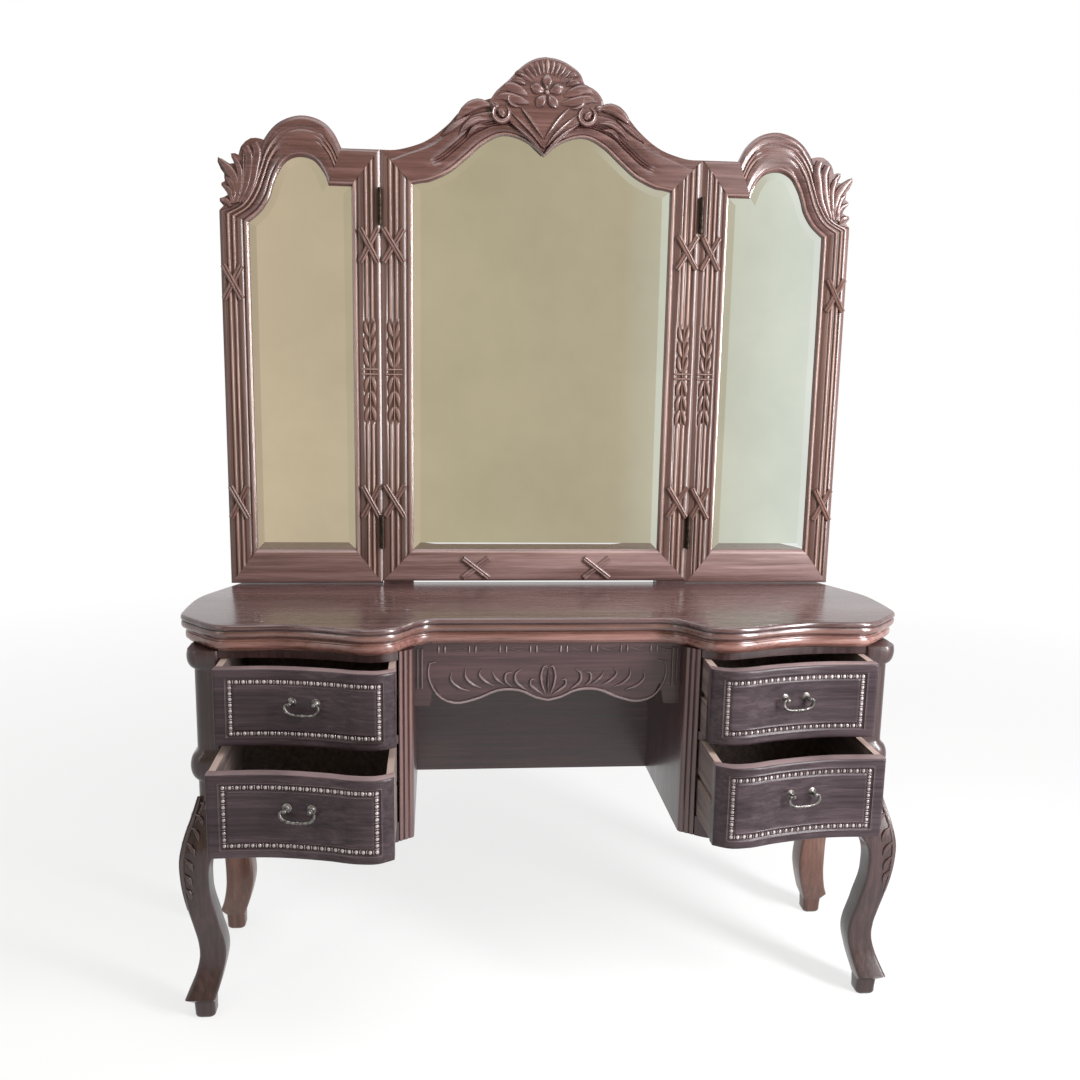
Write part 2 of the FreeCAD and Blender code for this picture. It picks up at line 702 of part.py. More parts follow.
def mirror_posts():
    back = back_y + batten_thickness
    low, high = case_bottom + batten_low_rise, shoulder_z - batten_high_drop
    batten = block(batten_x, batten_x + batten_width, back_y, back, low, high)
    places = [(desk_screw_x, z) for z in desk_screw_z] + [(frame_screw_x, z) for z in frame_screw_z]
    screws = []
    for x, z in places:
        batten = batten.cut(screw_hole(x, z))
        seat = Vector(x, back, z)
        shank = cylinder(screw_radius, Vector(x, back_y - screw_bite + screw_clearance, z), seat)
        head = cylinder(screw_head_radius, seat, seat + Vector(0, screw_head_height, 0))
        screws.append(shank.fuse(head).removeSplitter())
    on_both_sides("mirror_post", batten)
    parts["mirror_post_screws"] = Part.Compound(screws + [other_side(screw) for screw in screws])


def main():
    table_top()
    pedestals()
    legs()
    apron()
    drawers()
    runners()
    centre_frame()
    wings()
    hinges()
    mirror_posts()

    boxes = [shape.optimalBoundingBox(False, False) for shape in parts.values()]
    middle = (min(box.YMin for box in boxes) + max(box.YMax for box in boxes)) / 2
    os.makedirs("parts", exist_ok=True)
    for name, shape in parts.items():
        shape.translate(Vector(0, -middle, 0))
        shape.exportStep("parts/%s.step" % name)
    spot, angle = pull_place(*drawer_faces(), 0.0)
    print("pieces", len(parts))
    print("front plane of the mirror at y = %.3f" % -middle)
    print("wing hinge pin at x = %.3f, y = %.3f" % (hinge_x, pin_y - middle))
    print("pull pivot on a closed drawer at x = %.3f, y = %.3f" % (spot.x, spot.y - middle))
    print("pull turned by %.3f degrees" % angle)
    for level, (low, high) in levels.items():
        print(level, "pull pivot at z = %.3f" % (high - drawer_gap - pull_drop))


main()
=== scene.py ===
# %% [markdown]
# # A dressing table with a folding triple mirror
# The table is polished mahogany: two pedestals of bowed drawers on cabriole legs, a kneehole with a carved
# apron, and three mirrors in reeded frames. The measured model already holds every piece at its size. This
# lesson gives each piece its carving and its finish, and leaves all sizes alone.

# %% Load the measured frame
import json
import bpy
import numpy as np
from mathutils import Matrix, Vector

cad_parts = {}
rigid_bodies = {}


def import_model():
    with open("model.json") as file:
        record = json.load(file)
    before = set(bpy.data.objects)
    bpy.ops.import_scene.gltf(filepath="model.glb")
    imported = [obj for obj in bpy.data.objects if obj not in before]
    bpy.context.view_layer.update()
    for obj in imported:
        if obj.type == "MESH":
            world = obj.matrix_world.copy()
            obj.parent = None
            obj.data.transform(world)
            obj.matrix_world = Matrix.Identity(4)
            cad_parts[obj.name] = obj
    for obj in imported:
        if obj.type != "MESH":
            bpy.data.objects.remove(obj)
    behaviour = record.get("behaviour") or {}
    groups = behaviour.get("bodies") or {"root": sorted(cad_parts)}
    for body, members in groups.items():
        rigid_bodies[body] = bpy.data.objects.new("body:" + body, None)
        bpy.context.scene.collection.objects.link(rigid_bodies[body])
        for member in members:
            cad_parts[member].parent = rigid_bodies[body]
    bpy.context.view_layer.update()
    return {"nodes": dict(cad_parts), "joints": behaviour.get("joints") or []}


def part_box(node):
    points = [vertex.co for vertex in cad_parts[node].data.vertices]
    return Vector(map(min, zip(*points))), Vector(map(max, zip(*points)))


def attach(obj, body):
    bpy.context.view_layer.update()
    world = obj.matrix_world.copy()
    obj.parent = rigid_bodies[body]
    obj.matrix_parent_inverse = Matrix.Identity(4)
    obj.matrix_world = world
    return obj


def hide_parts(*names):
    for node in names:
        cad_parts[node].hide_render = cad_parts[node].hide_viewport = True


for leftover in list(bpy.data.objects):
    bpy.data.objects.remove(leftover)
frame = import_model()
mirror_front = np.array([0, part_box("centre_bottom_rail")[0].y, 0])
sides = (("left", -1), ("right", 1))


def as_drawn(metres):
    """Points of the shared frame, in millimetres from the mirror's front plane."""
    return (np.array(metres) - mirror_front) * 1000


def drawn(node):
    """Lowest and highest corner of a measured piece, as drawn."""
    low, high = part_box(node)
    return as_drawn(low), as_drawn(high)


# %% [markdown]
# ## Tools of the bench
# Carved work is hard to push into shape corner by corner. So most carved pieces start as a flat grid
# primitive, and a formula lays the rows of that grid along the carving, as a carver follows a drawing.
# Merging the seam and filling the ends then makes a closed piece. All drawing is in millimetres, with y = 0
# at the mirror's front plane, and one function turns it into metres in the shared frame.

# %% Curves and modes
def smooth(points, count):
    """Evenly spaced points on a smooth curve through the given ones."""
    points = np.asarray(points, float)
    steps = np.linalg.norm(np.diff(points, axis=0), axis=1)
    at = np.concatenate([[0], np.cumsum(steps)])
    slope = np.gradient(points, at, axis=0)
    place = np.linspace(0, at[-1], count)
    i = np.clip(np.searchsorted(at, place, side="right") - 1, 0, len(steps) - 1)
    h = steps[i][:, None]
    s = (place - at[i])[:, None] / h
    start = (1 + 2 * s) * (1 - s) ** 2 * points[i] + s * (1 - s) ** 2 * h * slope[i]
    return start + s ** 2 * (3 - 2 * s) * points[i + 1] + s ** 2 * (s - 1) * h * slope[i + 1]


def unit(vectors):
    """Vectors brought to a length of one."""
    return vectors / np.linalg.norm(vectors, axis=1)[:, None]


def object_mode():
    """Leaves edit mode with nothing selected."""
    if bpy.context.mode != "OBJECT":
        bpy.ops.object.mode_set(mode="OBJECT")
    bpy.ops.object.select_all(action="DESELECT")


def take_up(piece):
    """Selects one piece and makes it the active one."""
    object_mode()
    piece.select_set(True)
    bpy.context.view_layer.objects.active = piece


def edit_all(piece):
    """Opens a piece in edit mode with all of it selected."""
    take_up(piece)
    bpy.ops.object.mode_set(mode="EDIT")
    bpy.ops.mesh.select_all(action="SELECT")


def begin(name, primitive, **settings):
    """Adds a primitive under a name of its own."""
    object_mode()
    primitive(**settings)
    bpy.context.object.name = name
    return bpy.context.object


# %% Points and seams
weld = 0.00002


def points_of(piece):
    """The vertices of a piece, in metres."""
    flat = np.empty(len(piece.data.vertices) * 3, "f")
    piece.data.vertices.foreach_get("co", flat)
    return flat.reshape(-1, 3).astype(float)


def lay(piece, points):
    """Puts the vertices of a piece at drawn points."""
    metres = np.asarray(points) / 1000 + mirror_front
    piece.data.vertices.foreach_set("co", metres.ravel().astype("f"))
    piece.data.update()


def paint(piece, tone):
    """A tone per vertex: 1 is painted pale, as rubbing and painted highlight; -1 dark, as dark polish and
    painted shade.
    """
    layer = piece.data.attributes.get("tone") or piece.data.attributes.new("tone", "FLOAT", "POINT")
    layer.data.foreach_set("value", np.broadcast_to(tone, len(piece.data.vertices)).astype("f"))


def close(piece):
    """Merges the seam, fills the open ends and turns all faces outwards."""
    edit_all(piece)
    bpy.ops.mesh.remove_doubles(threshold=weld)
    bpy.ops.mesh.fill_holes(sides=0)
    bpy.ops.mesh.normals_make_consistent(inside=False)
    object_mode()


# %% Skins and plumes
arc_points, crease_width = 9, 0.3


def skin(name, net, tone=0):
    """A closed piece over rows of points: each row is a ring, and the first and last rings are filled."""
    net = np.asarray(net, float)
    tone = np.broadcast_to(tone, net.shape[:2])
    net = np.concatenate([net, net[:, :1]], axis=1)
    tone = np.concatenate([tone, tone[:, :1]], axis=1)
    rows, columns = net.shape[0] - 1, net.shape[1] - 1
    piece = begin(name, bpy.ops.mesh.primitive_grid_add, x_subdivisions=columns, y_subdivisions=rows, size=2,
                  calc_uvs=False)
    flat = points_of(piece)
    i = np.rint((flat[:, 0] + 1) / 2 * columns).astype(int)
    j = np.rint((flat[:, 1] + 1) / 2 * rows).astype(int)
    lay(piece, net[j, i])
    paint(piece, tone[j, i])
    close(piece)
    return piece


def plume(path, widths, height, out=(0, -1, 0), crease=0, count=11, sink=3, shine=1):
    """A carved ridge along a path on the wood: half round, tapered by its widths, with an optional crease."""
    points = smooth(path, count)
    along = np.gradient(points, axis=0)
    out = np.broadcast_to(np.asarray(out, float), points.shape)
    across = unit(np.cross(along, out))
    half = np.interp(np.linspace(0, 1, count), np.linspace(0, 1, len(widths)), widths)
    rise = height * np.sqrt(half / max(widths))
    angle = np.linspace(0, np.pi, arc_points)
    dome = np.sin(angle) * (1 - crease * np.exp(-(np.cos(angle) / crease_width) ** 2))
    ring = points[:, None] + across[:, None] * (half[:, None] * np.cos(angle))[:, :, None]
    ring = ring + out[:, None] * (rise[:, None] * dome)[:, :, None]
    under = ring[:, [-1, 0]] - out[:, None] * sink
    # The ridge's crest is painted pale and its flanks and foot dark, as painted highlight and shade; shine
    # caps the pale.
    tone = np.concatenate([2 * dome - 1, [-1, -1]])
    return skin("plume", np.concatenate([ring, under], axis=1), np.minimum(tone, shine))


def both_sides(path):
    """A drawn path and its mirror image."""
    path = np.asarray(path, float)
    return path, path * [-1, 1, 1]


def join(name, pieces):
    """Makes one piece of several."""
    object_mode()
    for piece in pieces:
        piece.select_set(True)
    bpy.context.view_layer.objects.active = pieces[0]
    if len(pieces) > 1:
        bpy.ops.object.join()
    bpy.context.object.name = name
    return bpy.context.object


def finish(piece, material, body, slot, *nodes, angle=40):
    """Smooths, polishes and hangs a piece on its body, in place of the measured nodes that it stands for."""
    take_up(piece)
    bpy.ops.object.shade_smooth_by_angle(angle=np.radians(angle))
    piece.data.name = piece.name
    piece.data.materials.clear()
    piece.data.materials.append(material)
    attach(piece, body)
    if nodes:
        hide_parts(*nodes)
    print(piece.name, "has", len(piece.data.polygons), "faces")


# %% Plates and mouldings
facing_front = -0.99


def plate(name, outline, push):
    """A board sawn to an outline: a filled ring of points, extruded by push, in millimetres."""
    piece = begin(name, bpy.ops.mesh.primitive_circle_add, vertices=len(outline), fill_type="NGON",
                  calc_uvs=False)
    lay(piece, outline)
    paint(piece, 0)
    edit_all(piece)
    bpy.ops.mesh.extrude_region_move(TRANSFORM_OT_translate={"value": [step / 1000 for step in push]})
    bpy.ops.mesh.select_all(action="SELECT")
    bpy.ops.mesh.normals_make_consistent(inside=False)
    object_mode()
    return piece


def mould(piece, steps):
    """Works a moulding round the front of a plate: (inwards, outwards) steps in millimetres."""
    edit_all(piece)
    bpy.ops.mesh.select_mode(type="FACE")
    bpy.ops.mesh.select_all(action="DESELECT")
    bpy.ops.object.mode_set(mode="OBJECT")
    for face in piece.data.polygons:
        face.select = face.normal.y < facing_front
    bpy.ops.object.mode_set(mode="EDIT")
    for inwards, outwards in steps:
        bpy.ops.mesh.inset(thickness=inwards / 1000, depth=outwards / 1000)
    object_mode()


def standing(points, y):
    """Points drawn on the upright plane at depth y."""
    points = np.asarray(points, float)
    return np.stack([points[:, 0], np.full(len(points), float(y)), points[:, 1]], axis=1)


print("bench ready")

# %% [markdown]
# ## Mahogany and its polish
# Old polished mahogany shows three scales of figure: broad bands, long streaks and short dark pores. Three
# noises stretched along the grain give them. The polish also reads the tone painted on each carved vertex: it
# paints the crests pale, as rubbing and painted highlight, and the hollows dark, as dark polish and painted
# shade.

# %% Shader nodes
pore_depth = 0.0006


def plug(made, sockets):
    """Fills the inputs of a node: a socket is linked, any other value is set."""
    for socket, value in sockets.items():
        if isinstance(value, bpy.types.NodeSocket):
            made.id_data.links.new(value, made.inputs[socket])
        else:
            made.inputs[socket].default_value = value


def node(material, kind, sockets, **settings):
    """A new shader node with its settings made and its inputs filled."""
    made = material.node_tree.nodes.new("ShaderNode" + kind)
    for key, value in settings.items():
        setattr(made, key, value)
    plug(made, sockets)
    return made


def reckon(material, operation, *values):
    """One step of arithmetic on sockets or numbers."""
    return node(material, "Math", dict(enumerate(values)), operation=operation).outputs[0]


def new_material(name):
    """A material and its main shader."""
    material = bpy.data.materials.new(name)
    material.use_nodes = True
    return material, material.node_tree.nodes["Principled BSDF"]


def noise(material, scale, detail, distortion=0):
    """Noise on the piece's own coordinates, with features per metre along x, y and z."""
    spot = node(material, "TexCoord", {}).outputs["Object"]
    spread = node(material, "Mapping", {"Vector": spot, "Scale": scale}).outputs["Vector"]
    sockets = {"Vector": spread, "Scale": 1, "Detail": detail, "Roughness": 0.6, "Distortion": distortion}
    return node(material, "TexNoise", sockets).outputs["Fac"]


def grained(material, along, across, length, detail, distortion):
    """Noise drawn out along the grain."""
    return noise(material, [length if axis == along else across for axis in "xyz"], detail, distortion)


def ramp(material, fac, stops):
    """Colours at places between 0 and 1."""
    stops = list(stops)
    made = node(material, "ValToRGB", {"Fac": fac})
    band = made.color_ramp
    while len(band.elements) < len(stops):
        band.elements.new(1.0)
    for element, (place, colour) in zip(band.elements, stops):
        element.position = place
        element.color = (*colour, 1)
    return made.outputs["Color"]


def between(material, value, low, high, to_low, to_high):
    """Carries one range over to another."""
    sockets = {0: value, 1: low, 2: high, 3: to_low, 4: to_high}
    return node(material, "MapRange", sockets).outputs[0]


def mixed(material, share, first, second):
    """A colour mix; each of the three is a socket or a value."""
    return node(material, "Mix", {0: share, 6: first, 7: second}, data_type="RGBA").outputs[2]


def weighed(material, parts):
    """A weighted sum of noises."""
    total = 0
    for value, weight in parts:
        total = reckon(material, "MULTIPLY_ADD", value, weight, total)
    return total


def dented(material, height, strength):
    """Normals roughened by a height."""
    sockets = {"Height": height, "Strength": strength, "Distance": pore_depth}
    return node(material, "Bump", sockets).outputs["Normal"]


# %% Wood
coat_rough = 0.16
# Hollows are mixed towards this dark colour, as dark polish and painted shade.
polish_and_shade_share, polish_and_shade_colour = 0.4, (0.018, 0.008, 0.006, 1)


def mahogany(name, along, tones, gloss, coat, worn=(0.30, 0.15, 0.11), wear=0.35, relief=0.25,
             reflection=0.5):
    """Polished wood with its grain along one axis; tones are its dark, middle and light colours."""
    material, shader = new_material("mahogany_" + name)
    scales = ((16, 1.5, 4), (130, 3.5, 4), (800, 24, 2))
    figure, grain, pores = (grained(material, along, *scale, 0.4) for scale in scales)
    mix = weighed(material, ((figure, 0.3), (grain, 0.5), (pores, 0.2)))
    colour = ramp(material, mix, zip((0.33, 0.5, 0.67), tones))
    tone = node(material, "Attribute", {}, attribute_name="tone").outputs["Fac"]
    # Crests are painted pale in patches, as rubbing and painted highlight.
    patchy = between(material, noise(material, [5, 5, 5], 3), 0.35, 0.65, 0.35 * wear, wear)
    crest = reckon(material, "MULTIPLY", between(material, tone, 0.5, 1, 0, 1), patchy)
    # Hollows are painted dark, as dark polish and painted shade.
    hollow = between(material, tone, -0.1, -1, 0, polish_and_shade_share)
    colour = mixed(material, crest, colour, (*worn, 1))
    colour = mixed(material, hollow, colour, polish_and_shade_colour)
    height = weighed(material, ((pores, 0.6), (grain, 0.4)))
    plug(shader, {"Base Color": colour, "Normal": dented(material, height, relief), "Coat Weight": coat,
                  "Roughness": between(material, grain, 0.3, 0.7, gloss - 0.06, gloss + 0.10),
                  "Coat Roughness": coat_rough, "Specular IOR Level": reflection})
    return material


# The band's tones are the top's, painted some two and a half times lighter, and the rails' tones are the
# arches', painted about twice as light: painted light on those parts.
frame_tones = ((0.030, 0.011, 0.009), (0.076, 0.031, 0.027), (0.135, 0.062, 0.055))
reed_tones = ((0.042, 0.018, 0.0135), (0.100, 0.050, 0.040), (0.165, 0.090, 0.073))
lit_rail_tones = ((0.058, 0.028, 0.024), (0.138, 0.079, 0.074), (0.235, 0.148, 0.141))
top_tones = ((0.028, 0.012, 0.011), (0.068, 0.034, 0.033), (0.118, 0.066, 0.064))
lit_band_tones = ((0.075, 0.032, 0.026), (0.180, 0.085, 0.071), (0.285, 0.155, 0.132))
plum_tones = ((0.012, 0.0075, 0.009), (0.033, 0.022, 0.026), (0.066, 0.046, 0.053))
case_tones = ((0.014, 0.006, 0.007), (0.041, 0.018, 0.020), (0.080, 0.039, 0.041))
leg_tones = ((0.012, 0.005, 0.005), (0.030, 0.014, 0.014), (0.062, 0.030, 0.030))
warm_tones = ((0.040, 0.014, 0.009), (0.092, 0.038, 0.025), (0.155, 0.072, 0.050))
# Crests, fillets and edges are painted in these pale colours, as rubbing and painted highlight.
reed_wear_and_sheen = {"worn": (0.42, 0.285, 0.235), "wear": 0.62}
drawer_wear_and_sheen = {"worn": (0.40, 0.29, 0.29), "wear": 0.7}
upright_wood = mahogany("upright_grain", "z", reed_tones, 0.34, 0.35, reflection=0.4, **reed_wear_and_sheen)
level_wood = mahogany("level_grain", "x", frame_tones, 0.34, 0.4, **reed_wear_and_sheen)
rail_wood = mahogany("rail", "x", lit_rail_tones, 0.34, 0.3, **reed_wear_and_sheen)
top_wood = mahogany("table_top", "x", top_tones, 0.26, 0.45, relief=0.05)
band_wood = mahogany("band", "x", lit_band_tones, 0.28, 0.4, relief=0.1)
case_wood = mahogany("case", "x", case_tones, 0.34, 0.3, **reed_wear_and_sheen)
apron_wood = mahogany("apron", "x", case_tones, 0.36, 0.3, worn=(0.50, 0.40, 0.39), wear=0.6)
stile_wood = mahogany("case_stile", "z", case_tones, 0.32, 0.5)
leg_wood = mahogany("leg", "z", leg_tones, 0.34, 0.4, reflection=0.4, **reed_wear_and_sheen)
rear_wood = mahogany("rear_leg", "z", warm_tones, 0.36, 0.3)
drawer_wood = mahogany("drawer", "x", plum_tones, 0.34, 0.05, reflection=0.2, **drawer_wear_and_sheen)
print("woods:", [material.name for material in bpy.data.materials])

# %% [markdown]
# ## Plain wood, brass, steel and silvered glass
# The linings and boards that nobody polishes are dry and matt. The pulls are brass gone brown in the
# hollows, the hinges brass gone nearly black, the screws grey steel. The mirror is silver behind clear
# glass, so it is a metal with hardly any roughness, and a faint noise keeps it from looking like a hole in
# the frame.

# %% Other finishes
def dry_wood(name, along, dark, light, upper=None):
    """Matt wood; faces that look up may be painted paler, as painted light from above."""
    material, shader = new_material(name)
    grain = grained(material, along, 110, 4, 5, 0.5)
    colour = ramp(material, grain, ((0.35, dark), (0.65, light)))
    if upper:
        facing = node(material, "NewGeometry", {}).outputs["Normal"]
        up = node(material, "SeparateXYZ", {"Vector": facing}).outputs["Z"]
        colour = mixed(material, between(material, up, 0.7, 0.95, 0, 0.8), colour, (*upper, 1))
    plug(shader, {"Base Color": colour, "Normal": dented(material, grain, 0.3),
                  "Roughness": between(material, grain, 0.3, 0.7, 0.5, 0.75)})
    return material


def metal(name, dark, light, rough_low, rough_high, scale):
    """Metal with a patina that is dark and dull in patches."""
    material, shader = new_material(name)
    patina = noise(material, [scale] * 3, 4)
    plug(shader, {"Base Color": ramp(material, patina, ((0.35, dark), (0.62, light))), "Metallic": 1,
                  "Roughness": between(material, patina, 0.3, 0.7, rough_high, rough_low)})
    return material


# The linings' upward faces are painted paler, as painted light from above.
lining_wood = dry_wood("drawer_lining_wood", "y", (0.080, 0.060, 0.056), (0.180, 0.138, 0.124),
                       upper=(0.40, 0.30, 0.26))
back_board = dry_wood("mirror_backboard", "z", (0.10, 0.055, 0.032), (0.19, 0.11, 0.065))
soft_wood = dry_wood("back_softwood", "z", (0.085, 0.042, 0.026), (0.16, 0.085, 0.052))
pull_brass = metal("antique_brass", (0.045, 0.040, 0.037), (0.23, 0.219, 0.208), 0.34, 0.54, 160)
hinge_brass = metal("hinge_brass", (0.010, 0.008, 0.007), (0.05, 0.040, 0.032), 0.35, 0.55, 120)
screw_steel = metal("screw_steel", (0.25, 0.25, 0.25), (0.46, 0.45, 0.44), 0.30, 0.50, 300)
silver = metal("silvered_glass", (0.80, 0.82, 0.81), (0.90, 0.915, 0.905), 0.012, 0.02, 3)
# The beads are painted nearly white, as a painted highlight on each.
bead_highlight = mahogany("beads", "x", case_tones, 0.22, 0.6, worn=(0.95, 0.86, 0.86))
print("finishes:", len(bpy.data.materials))

# %% [markdown]
# ## Reeded mirror frames
# A frame member is sawn from a board, rebated behind for the glass, and worked in front: two round reeds on
# the crown of a bowed face, with a lip that falls to the glass. One cross-section, laid from the sight edge
# to the outer edge and repeated along the member, makes stiles and arches alike. The corners are mitred, so
# the ends of a stile are simply rows that slant.

# %% Cross-sections
rail_low, rail_high = drawn("centre_bottom_rail")
frame_low, sight_low, frame_back = rail_low[2], rail_high[2], rail_high[1]
rebate, glass_seat, carved_back = 8, 10, 21.5

# In every profile the tone paints the lip and the crests pale, as rubbing and painted highlight, and the
# grooves and flat fields dark, as painted shade.
# Profiles are (share across the member, depth, tone) rows: the lip at the glass comes first, then the face.
# A reed is drawn about its own middle and laid twice.
reed = ((-0.075, 3.8, -1), (-0.055, 2.2, -0.4), (-0.037, 0.9, 0.6), (-0.018, 0.2, 0.95), (0, 0, 1),
        (0.018, 0.2, 0.95), (0.037, 0.9, 0.6), (0.055, 2.2, -0.4), (0.075, 3.8, -1))
reeds = [(round(middle + step, 3), depth, tone) for middle in (0.505, 0.695) for step, depth, tone in reed]
reeded = np.array([(0, 9, -0.2), (0.025, 6.5, 0.4), (0.06, 2.6, 0.75), (0.11, 2, 0.85), (0.16, 3.4, 0.1),
                   (0.195, 5.6, -1), (0.225, 4.1, -0.9), (0.27, 2.8, -0.85), (0.33, 1.8, -0.8),
                   (0.385, 1.6, -0.9), (0.405, 3.4, -1), *reeds,
                   (0.795, 3.4, -1), (0.815, 1.6, -0.9), (0.86, 1.7, -0.8), (0.91, 2.5, -0.6),
                   (0.955, 3.6, -0.5), (0.985, 4.6, -0.7), (1, 5, -0.6)]).T
plain_profile = np.array([(0, 9, -0.2), (0.03, 6.5, 0.3), (0.08, 2.8, 0.9), (0.14, 1.6, 0), (0.5, 1, 0),
                          (0.9, 1.3, 0), (0.965, 2.2, 0.5), (1, 5, 0)]).T


def blended(place, marks):
    """A section that changes along a member; marks are (place, profile) pairs in order."""
    share = np.unique(np.concatenate([profile[0] for _, profile in marks]))
    depth, tone = (np.array([np.interp(share, profile[0], profile[row]) for _, profile in marks])
                   for row in (1, 2))
    at = np.array([mark for mark, _ in marks])
    i = np.clip(np.searchsorted(at, place, side="right") - 1, 0, len(at) - 2)
    t = np.clip((place - at[i]) / (at[i + 1] - at[i]), 0, 1)[:, None]
    t = t * t * (3 - 2 * t)
    return share, (1 - t) * depth[i] + t * depth[i + 1], (1 - t) * tone[i] + t * tone[i + 1]


def member(name, inner, outer, share, depth, tone):
    """A frame member between its sight edge and its outer edge, with the rebate behind."""
    inner = np.asarray(inner, float)
    reach = np.asarray(outer, float) - inner
    rows = len(inner)
    notch = rebate / np.linalg.norm(reach, axis=1)
    ends = np.stack([np.ones(rows), notch, notch, np.zeros(rows)], axis=1)
    backs = np.broadcast_to([frame_back, frame_back, glass_seat, glass_seat], (rows, 4))
    share, depth, tone = (np.broadcast_to(value, (rows, np.shape(value)[-1]))
                          for value in (share, depth, tone))
    across = np.concatenate([share, ends], axis=1)
    net = np.empty((*across.shape, 3))
    net[..., 0] = inner[:, :1] + across * reach[:, :1]
    net[..., 1] = np.concatenate([depth, backs], axis=1)
    net[..., 2] = inner[:, 1:] + across * reach[:, 1:]
    return skin(name, net, np.concatenate([tone, np.zeros((rows, 4))], axis=1))


print("reeded section has", reeded.shape[1], "points")

# %% [markdown]
# ## Stiles with ribbon ties and leaf panels
# Carved ribbons cross over the reeds as if to hold the bundle, and half way up the four inner stiles two
# sprays of leaves grow away from a band. Each ribbon or leaf is a plume: a ridge laid along a short path.
# The reeds sink to a flat ground where the leaves lie, or the leaves would drown in them.

# %% Stiles
leaf_span = (1121, 1329)
tie_reach, slant_clear = 33, 16
# Shares across a stile: the middle between its reeds, half of the leaf ground and half of a ribbon tie
reed_middle, leaf_half, tie_half = 0.6, 0.19, 0.31
leaf_ground_depth, leaf_ground_slope = 4.6, 30


def ribbon_tie(x, z, half_width, reach=tie_reach, seat=1.2):
    """Two crossed straps, the second a little higher than the first."""
    straps = []
    for lean, lift in ((1, 0), (-1, 1.3)):
        path = [(x + way * half_width, seat - lift, z + way * lean * reach) for way in (-1, 1)]
        straps.append(plume(path, (6.2, 6.2), 4.8, crease=0.62, count=3, sink=6, shine=0.8))
    return straps


def leaf_sprays(x):
    """A stem, three pairs of leaves each way from the middle, and a band of two bars."""
    low, high = leaf_span
    middle = (low + high) / 2
    ground = 4.4
    carving = [plume([(x, ground, low + 6), (x, ground, high - 6)], (1.3, 1.3), 4.6, count=3)]
    for way in (1, -1):
        for step in (8, 39, 70):
            root = middle + way * step
            for sign in (1, -1):
                path = [(x + sign * dx, ground, root + way * dz) for dx, dz in ((1.5, 0), (6, 9), (10.5, 34))]
                carving.append(plume(path, (1, 4.8, 5.2, 3.6, 0.3), 5.2, crease=0.12, shine=0.62))
    for z in (middle - 5, middle + 5):
        carving.append(plume([(x - 17, ground, z), (x + 17, ground, z)], (2.4, 2.4), 4.6, count=3, shine=0.7))
    return carving


def stile(name, sight_x, outer_x, low, high, ties, leaves):
    """A reeded upright; low and high are the heights of its mitred ends at the sight and outer edges."""
    marks = [low[0] + slant_clear, high[0] - slant_clear]
    if leaves:
        marks[1:1] = [leaf_span[0] - 5, leaf_span[0] + 4, leaf_span[1] - 4, leaf_span[1] + 5]
    inner = [(sight_x, z) for z in (low[0], *marks, high[0])]
    outer = [(outer_x, z) for z in (low[1], *marks, high[1])]
    share, depth, tone = reeded
    depth, tone = (np.tile(value, (len(inner), 1)) for value in (depth, tone))
    if leaves:
        beyond = np.clip(np.abs(share - reed_middle) - leaf_half, 0, None)
        for row in (3, 4):
            depth[row] = np.maximum(depth[row], leaf_ground_depth - leaf_ground_slope * beyond)
            # The sunk leaf ground is painted a little darker, as painted shade.
            tone[row, beyond == 0] = -0.3
    middle = sight_x + reed_middle * (outer_x - sight_x)
    half_width = tie_half * abs(outer_x - sight_x)
    pieces = [member(name, inner, outer, share, depth, tone)]
    for z in ties:
        pieces += ribbon_tie(middle, z, half_width)
    if leaves:
        pieces += leaf_sprays(middle)
    return join(name, pieces)


# %% The six stiles
seam, wing_drop, shoulder_rise = 1.95, 4.5, 71
centre_sight, centre_half = (corner[0] for corner in drawn("centre_right_stile"))
wing_start, wing_sight_in = (corner[0] for corner in drawn("right_wing_inner_stile"))
centre_half, wing_start = centre_half + seam, wing_start - seam
wing_sight_out, wing_end = (corner[0] for corner in drawn("right_wing_outer_stile"))
shoulder = drawn("right_wing_inner_stile")[1][2]
wing_top = drawn("right_wing_outer_stile")[1][2]
shoulder_top = shoulder + shoulder_rise
low_mitre, wing_mitre = (sight_low, frame_low), (sight_low, frame_low - wing_drop)
for side, sign in sides:
    wing = side + "_wing"
    for name, body, sight_x, outer_x, low, high, ties, leaves in (
            ("centre_%s_stile" % side, "desk", centre_sight, centre_half, low_mitre,
             (shoulder + 7, shoulder_top), (1477, 958), True),
            (wing + "_inner_stile", wing, wing_sight_in, wing_start, wing_mitre,
             (shoulder, shoulder_top), (1476, 956), True),
            (wing + "_outer_stile", wing, wing_sight_out, wing_end, wing_mitre,
             (wing_top, wing_top + 21), (1398, 954), False)):
        piece = stile("reeded_" + name, sign * sight_x, sign * outer_x, low, high, ties, leaves)
        finish(piece, upright_wood, body, "mahogany_frame", name)

# %% [markdown]
# ## Bottom rails
# The bottom rails are plain, with a lip at the glass and an eased lower edge. The centre one carries two more
# ribbon ties. They use the same member function, laid from one mitre to the other.

